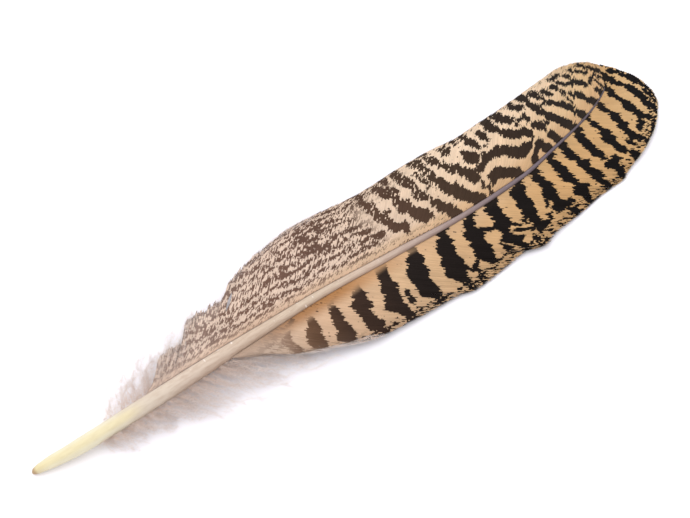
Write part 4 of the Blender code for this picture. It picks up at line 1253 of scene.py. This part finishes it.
@dataclass
class Down:
    """Down on one side of the shaft: thin branches with barbules along both their sides."""

    name: str
    node: str
    side: Side
    locks: tuple
    branches: int
    hairs: int
    finish: DownFinish
    seed: int
    tip_heights: tuple = (0.3, 3.4)
    crowding: float = 0.8
    scatter: float = 0.15
    root_depth: float = 0.8
    root_turns: tuple = (-0.7, 0.2)
    branch_reach: tuple = (0.35, 1.02)
    branch_stray: float = 2.0
    hair_reach: tuple = (0.8, 1.25)
    hair_stray: float = 2.6
    branch_rings: int = 16
    branch_radius: float = 0.05
    branch_taper: float = 0.8
    bows: tuple = (-0.1, 0.4)
    bow_height: float = 1.6
    waves: tuple = (-0.1, 0.1)
    lifts: tuple = (0.1, 2.2)
    droop: float = 0.7
    curl: float = 0.5
    curl_turns: tuple = (1.0, 2.5)
    lowest: float = 0.15
    barbule_step: float = 0.125
    barbule_start: float = 0.02
    barbule_span: float = 0.4
    barbule_length: float = 3.4
    barbule_sizes: tuple = (0.4, 1.1)
    barbule_radius: float = 0.022
    barbule_taper: float = 0.7
    barbule_rise: float = 0.7
    barbule_stray: float = 0.6
    barbule_lean: tuple = (0.4, 0.85)
    barbule_curl: tuple = (0.7, 0.5, 0.8)
    lowest_barbule: float = 0.05
    step_faces: int = 10
    most_faces: int = 180000

    def branch_lines(self, random: np.random.Generator, count: int, reach: tuple, stray: float) -> np.ndarray:
        """Middle points of branches that grow from the shaft.

        Args:
            random: Source of chance.
            count: How many.
            reach: Shortest and longest, as a share of the lock that they are in.
            stray: How far their tips stray, in millimetres.

        Returns:
            One row of points a branch.
        """
        rows = np.array(self.locks, float)
        place = np.linspace(0, 1, count) ** self.crowding * (len(rows) - 1)
        place = place + random.uniform(-self.scatter, self.scatter, count)
        lock = through(rows, np.clip(place, 0, len(rows) - 1))
        radius = LINE.radius(lock[:, 0])
        root = LINE.beside(lock[:, 0], self.side, radius * self.root_depth,
                           random.uniform(*self.root_turns, count) * radius)
        tip = root[:, :2] + (lock[:, 1:3] - root[:, :2]) * random.uniform(*reach, (count, 1))
        tip += random.normal(size=tip.shape) * stray
        t = np.linspace(0, 1, self.branch_rings + 1)[None, :, None]
        level = root[:, None, :2] + (tip - root[:, :2])[:, None] * t
        length = np.linalg.norm(tip - root[:, :2], axis=1)[:, None, None]
        way = unit(tip - root[:, :2])[:, None]
        square = np.stack([-way[..., 1], way[..., 0]], -1) * self.side.value
        bow, wave, lift = (
            random.uniform(*ends, (count, 1, 1)) for ends in (self.bows, self.waves, self.lifts))
        aside = bow * t * (1 - t) * self.bow_height + wave * np.sin(2 * math.tau * t) * t
        level = level + square * length * aside
        low_end = random.uniform(*self.tip_heights, (count, 1, 1))
        fall = (low_end - root[:, None, 2:]) * t**self.droop
        height = root[:, None, 2:] + fall + lift * np.sin(math.pi * t)
        turns, start = random.uniform(*self.curl_turns, (2, count, 1, 2))
        level = level + self.curl * np.sin(math.tau * (turns * t + start)) * t
        return np.concatenate([level, np.maximum(height, self.lowest)], -1)

    def barbules(self, lines: np.ndarray, random: np.random.Generator) -> tuple[np.ndarray, np.ndarray]:
        """Middle points of every barbule, and how far along its branch each one grows.

        Args:
            lines: Points of the branches.
            random: Source of chance.

        Returns:
            Root, bend and tip of each barbule, and its share along the branch.
        """
        made, shares = [], []
        for line in lines:
            distance = np.concatenate([[0], np.cumsum(np.linalg.norm(np.diff(line, axis=0), axis=1))])
            count = int(distance[-1] / self.barbule_step)
            at = np.sort(random.uniform(self.barbule_start, 1.0, count)) * distance[-1]
            root, ahead, behind = (
                np.stack([np.interp(at + step, distance, line[:, axis]) for axis in range(3)], -1)
                for step in (0, self.barbule_span, -self.barbule_span))
            way = unit(ahead - behind)
            level = unit(np.cross(way, (0, 0, 1.0)))
            hand = np.where(np.arange(count) % 2 == 0, 1.0, -1.0)[:, None]
            rise = random.normal(size=(count, 1)) * self.barbule_rise
            stray = random.normal(size=(count, 3)) * self.barbule_stray
            out = unit(level * hand + np.array([0, 0, 1.0]) * rise + stray)
            share = at / distance[-1]
            size = self.barbule_length * random.uniform(*self.barbule_sizes, count)
            half = (size * (1 - share / 2))[:, None] / 2
            forward, sideways = self.barbule_lean
            bend = root + (way * forward + out * sideways) * half
            forward, sideways, chance = self.barbule_curl
            curl = unit(way * forward + out * sideways + random.normal(size=(count, 3)) * chance)
            made.append(np.stack([root, bend, bend + curl * half], 1))
            shares.append(share)
        points = np.concatenate(made)
        points[..., 2] = np.maximum(points[..., 2], self.lowest_barbule)
        return points, np.concatenate(shares)

    def build(self, shift: Vector) -> list[bpy.types.Object]:
        """Model the down and dress it.

        Args:
            shift: Move to the frame, in millimetres.

        Returns:
            The finished pieces.
        """
        random = np.random.default_rng(self.seed)
        lines = self.branch_lines(random, self.branches, self.branch_reach, self.branch_stray)
        hairs = self.branch_lines(random, self.hairs, self.hair_reach, self.hair_stray)
        stems = np.concatenate([lines, hairs])
        t = np.linspace(0, 1, self.branch_rings + 1)
        taper = np.broadcast_to(self.branch_radius * (1 - self.branch_taper * t[:-1]),
                                (len(stems), self.branch_rings))
        branches = threads(self.name + "_branches", stems, taper)
        share = np.broadcast_to(t, stems.shape[:2])
        pieces = [(branches, share)]
        points, at = self.barbules(lines, random)
        parts = math.ceil(len(points) * self.step_faces / self.most_faces)
        for number, picked in enumerate(np.array_split(np.arange(len(points)), parts)):
            radii = np.array([1.0, self.barbule_taper]) * self.barbule_radius
            radius = np.broadcast_to(radii, (len(picked), 2))
            barbules = threads(f"{self.name}_barbules_{number + 1}", points[picked], radius)
            pieces.append((barbules, np.broadcast_to(at[picked][:, None], (len(picked), 3))))
        material = self.finish.make()
        things = []
        for strands, share in pieces:
            chance = np.broadcast_to(random.random((len(share), 1)), share.shape)
            values = np.stack([share, chance, chance], -1)
            thing = strands.build(shift, {"thread": strands.spread(values[:, :-1], values[:, -1])})
            things.append(dress(thing, self.node, material))
        return things


@dataclass
class Fringe:
    """Loose pale hairs along a vane's edge."""

    name: str
    vane: Vane
    finish: DownFinish
    count: int
    roots: tuple
    shares: tuple
    lengths: tuple
    seed: int
    swerve: float = 0.6
    radius: float = 0.022
    rings: int = 7
    start_back: float = 0.05
    rise: float = 0.25
    lift: float = 0.15
    lowest: float = 0.1
    thick_root: float = 1.1
    root_tone: float = 0.4

    def build(self, shift: Vector) -> bpy.types.Object:
        """Model the hairs and dress them.

        Args:
            shift: Move to the frame, in millimetres.

        Returns:
            The finished piece.
        """
        random = np.random.default_rng(self.seed)
        barbs = self.vane.barbs()
        barbs = barbs[(barbs[:, 0] >= self.roots[0]) & (barbs[:, 0] <= self.roots[1])]
        barbs = barbs[random.integers(0, len(barbs), self.count)]
        share = random.uniform(*self.shares, (self.count, 1))
        ends = self.vane.surface(barbs, np.concatenate([share - self.start_back, share], 1))
        way = unit(ends[:, 1] - ends[:, 0])
        turn = random.normal(size=self.count) * self.swerve
        bend = random.normal(size=self.count) * self.swerve
        size = random.uniform(*self.lengths, self.count)
        t = np.linspace(0, 1, self.rings + 1)
        angle = np.arctan2(way[:, 1], way[:, 0])[:, None] + turn[:, None] + bend[:, None] * t
        stride = (size / self.rings)[:, None]
        rise = random.normal(size=(self.count, 1)) * self.rise
        climb = rise * stride * np.ones_like(t)
        steps = np.stack([np.cos(angle) * stride, np.sin(angle) * stride, climb], -1)
        line = ends[:, 1:2] + np.cumsum(steps, axis=1) - steps[:, :1]
        line[..., 2] = np.maximum(line[..., 2] + self.lift, self.lowest)
        taper = np.broadcast_to(self.radius * (self.thick_root - t[:-1]), (self.count, self.rings))
        hairs = threads(self.name, line, taper)
        tone = np.broadcast_to(t, (self.count, self.rings + 1))
        values = np.stack([self.root_tone + (1 - self.root_tone) * tone, tone, tone], -1)
        thing = hairs.build(shift, {"thread": hairs.spread(values[:, :-1], values[:, -1])})
        return dress(thing, self.vane.node, self.finish.make())


@dataclass
class Studio:
    """Pale table, soft light and the photograph's camera."""

    lens: float = 50
    sensor: float = 36
    azimuth: float = -35.7
    elevation: float = 58
    distance: float = 377.3
    aim: tuple = (138.2, 7.5)
    near_clip: float = 0.01
    table_size: float = 6.0
    table_tones: tuple = ((248, 245, 250), (252, 250, 253))
    table_noise: tuple = (2.0, 2.0)
    table_roughness: float = 0.9
    table_gloss: float = 0.1
    lamp_place: tuple = (-0.4, 0.5, 1.4)
    lamp_energy: float = 15.0
    lamp_size: float = 2.2
    room_light: float = 1.0
    room_tone: tuple = (250, 250, 253)

    def build(self, shift: Vector) -> None:
        """Make the table, the light and the camera.

        Args:
            shift: Move from feather millimetres to the frame, in millimetres.
        """
        self.table()
        self.light()
        self.camera(shift)

    def table(self) -> None:
        """Lay the white table top."""
        mesh = bmesh.new()
        bmesh.ops.create_grid(mesh, x_segments=1, y_segments=1, size=self.table_size / 2)
        data = bpy.data.meshes.new("table_top")
        mesh.to_mesh(data)
        mesh.free()
        paint = Painter("white_card")
        cloud = paint.noise(paint.add("ShaderNodeTexCoord", {}).outputs["Object"], *self.table_noise)
        colour = paint.mix(cloud, *(linear(*tone) for tone in self.table_tones))
        card = paint.finish(colour, Roughness=self.table_roughness, Specular_IOR_Level=self.table_gloss)
        data.materials.append(card)
        table = stand("table_top", data)

    def camera(self, shift: Vector) -> None:
        """Stand the camera where the photograph was taken from.

        Args:
            shift: Move from feather millimetres to the frame, in millimetres.
        """
        aim = Vector((self.aim[0] + shift.x, self.aim[1] + shift.y, 0)) * MM
        turn, rise = math.radians(self.azimuth), math.radians(self.elevation)
        back = Vector((math.sin(turn) * math.cos(rise), -math.cos(turn) * math.cos(rise), math.sin(rise)))
        camera = stand("camera", bpy.data.cameras.new("camera"))
        camera.data.lens = self.lens
        camera.data.sensor_width = self.sensor
        camera.data.clip_start = self.near_clip
        camera.location = aim + back * self.distance * MM
        camera.rotation_mode = "QUATERNION"
        camera.rotation_quaternion = (-back).to_track_quat("-Z", "Y")
        bpy.context.scene.camera = camera

    def light(self) -> None:
        """Hang one wide lamp in a bright room."""
        key = bpy.data.lights.new("window", "AREA")
        key.energy = self.lamp_energy
        key.size = self.lamp_size
        lamp = stand("window", key)
        lamp.location = self.lamp_place
        lamp.rotation_mode = "QUATERNION"
        lamp.rotation_quaternion = (-lamp.location).to_track_quat("-Z", "Y")
        world = bpy.data.worlds.new("soft_room")
        world.use_nodes = True
        sky = world.node_tree.nodes["Background"].inputs
        sky["Color"].default_value = linear(*self.room_tone)
        sky["Strength"].default_value = self.room_light
        bpy.context.scene.world = world
        bpy.context.scene.view_settings.view_transform = "Standard"


def outer_vane() -> Vane:
    """The vane with broad dark bars on buff."""
    finish = VaneFinish(
        slot="barred_vane", name="barred_buff",
        ground=((40, (200, 186, 178)), (85, (190, 166, 146)), (112, (206, 172, 142)), (150, (205, 171, 134)),
                (190, (202, 164, 120)), (230, (200, 159, 110)), (262, (200, 160, 111)),
                (300, (207, 171, 125))),
        ground_near_shaft=((40, (180, 160, 146)), (90, (160, 120, 88)), (125, (176, 127, 82)),
                           (155, (205, 167, 130)), (190, (206, 170, 130)), (230, (200, 161, 113)),
                           (300, (196, 158, 111))),
        dark=((40, (150, 122, 104)), (97, (128, 96, 74)), (107, (98, 72, 54)), (120, (66, 48, 38)),
              (150, (36, 29, 26)), (190, (26, 21, 19)), (300, (20, 17, 17))),
        wash=(186, 166, 150), wash_stops=(84, 108, 0.6, 0.5, 130), speckle_end=96, strip_start=0.72,
        strip_share=0.2, fray=(1.4, 3.4), fade_end=168, break_up=(0.66, 0.0, 4.0), edge_dark=0.2,
        edge_pale=0.0,
    )
    return Vane("outer_vane_barbs", "outer_vane", Side.OUTER, OUTER_BARBS, (0.45, 0.0),
                Markings(OUTER_MARKINGS + TIP_MARKINGS), finish, seed=11, base_end=(80, 100),
                base_swing=(0.45, 0.0))


def inner_vane() -> Vane:
    """The vane with fine speckles at its base and wavy bars past its middle."""
    finish = VaneFinish(
        slot="speckled_vane", name="speckled_cream",
        ground=((40, (208, 186, 170)), (85, (214, 190, 171)), (125, (218, 193, 174)), (160, (214, 189, 166)),
                (190, (216, 187, 156)), (228, (218, 186, 149)), (262, (213, 180, 138)),
                (300, (213, 177, 130))),
        ground_near_shaft=((40, (206, 180, 160)), (100, (206, 177, 153)), (150, (208, 178, 148)),
                           (190, (207, 172, 133)), (230, (205, 168, 127)), (300, (205, 167, 123))),
        dark=((40, (136, 108, 95)), (95, (112, 84, 71)), (125, (104, 78, 66)), (155, (88, 65, 52)),
              (190, (68, 52, 40)), (228, (53, 41, 33)), (262, (43, 37, 33)), (300, (37, 32, 29))),
        wash=(205, 190, 180), wash_stops=(48, 95, 0.3, 0.35, 122), speckle_end=153, strip_start=0.8,
        strip_share=0.13, fray=(2.2, 3.6), fade_end=60, break_up=(0.25, 0.8, 3.2), edge_dark=0.5,
        edge_pale=0.5,
    )
    return Vane("inner_vane_barbs", "inner_vane", Side.INNER, INNER_BARBS, (0.1, 0.35),
                Markings(INNER_MARKINGS + TIP_MARKINGS), finish, seed=23, base_swing=(-0.5, 0.0),
                base_ragged=0.1, tears=(Tear(middle=(89.3, 14.8), reach=5.0, gape=1.5),))


def main() -> None:
    """Build the feather and its studio."""
    logging.basicConfig(level=logging.INFO)
    shaft = Shaft(ShaftFinish())
    shift = shaft.place()
    log.info("feather millimetres move by %s", tuple(round(value, 3) for value in shift))
    Studio().build(shift)
    shaft.build(shift)
    outer, inner = outer_vane(), inner_vane()
    outer.build(shift)
    inner.build(shift)
    fluff = DownFinish()
    Down("outer_down", "outer_down", Side.OUTER, OUTER_LOCKS, 170, 40, fluff, seed=5).build(shift)
    Down("inner_down", "inner_down", Side.INNER, INNER_LOCKS, 60, 40, fluff, seed=7,
         tip_heights=(0.3, 8.0), crowding=0.55).build(shift)
    Fringe("outer_vane_fuzz", outer, fluff, 1500, (78, 100), (0.8, 1.0), (0.6, 2.8), seed=31).build(shift)
    Fringe("inner_vane_fuzz", inner, fluff, 1300, (46, 100), (0.85, 1.0), (0.6, 3.0), seed=37).build(shift)


if __name__ == "__main__":
    main()
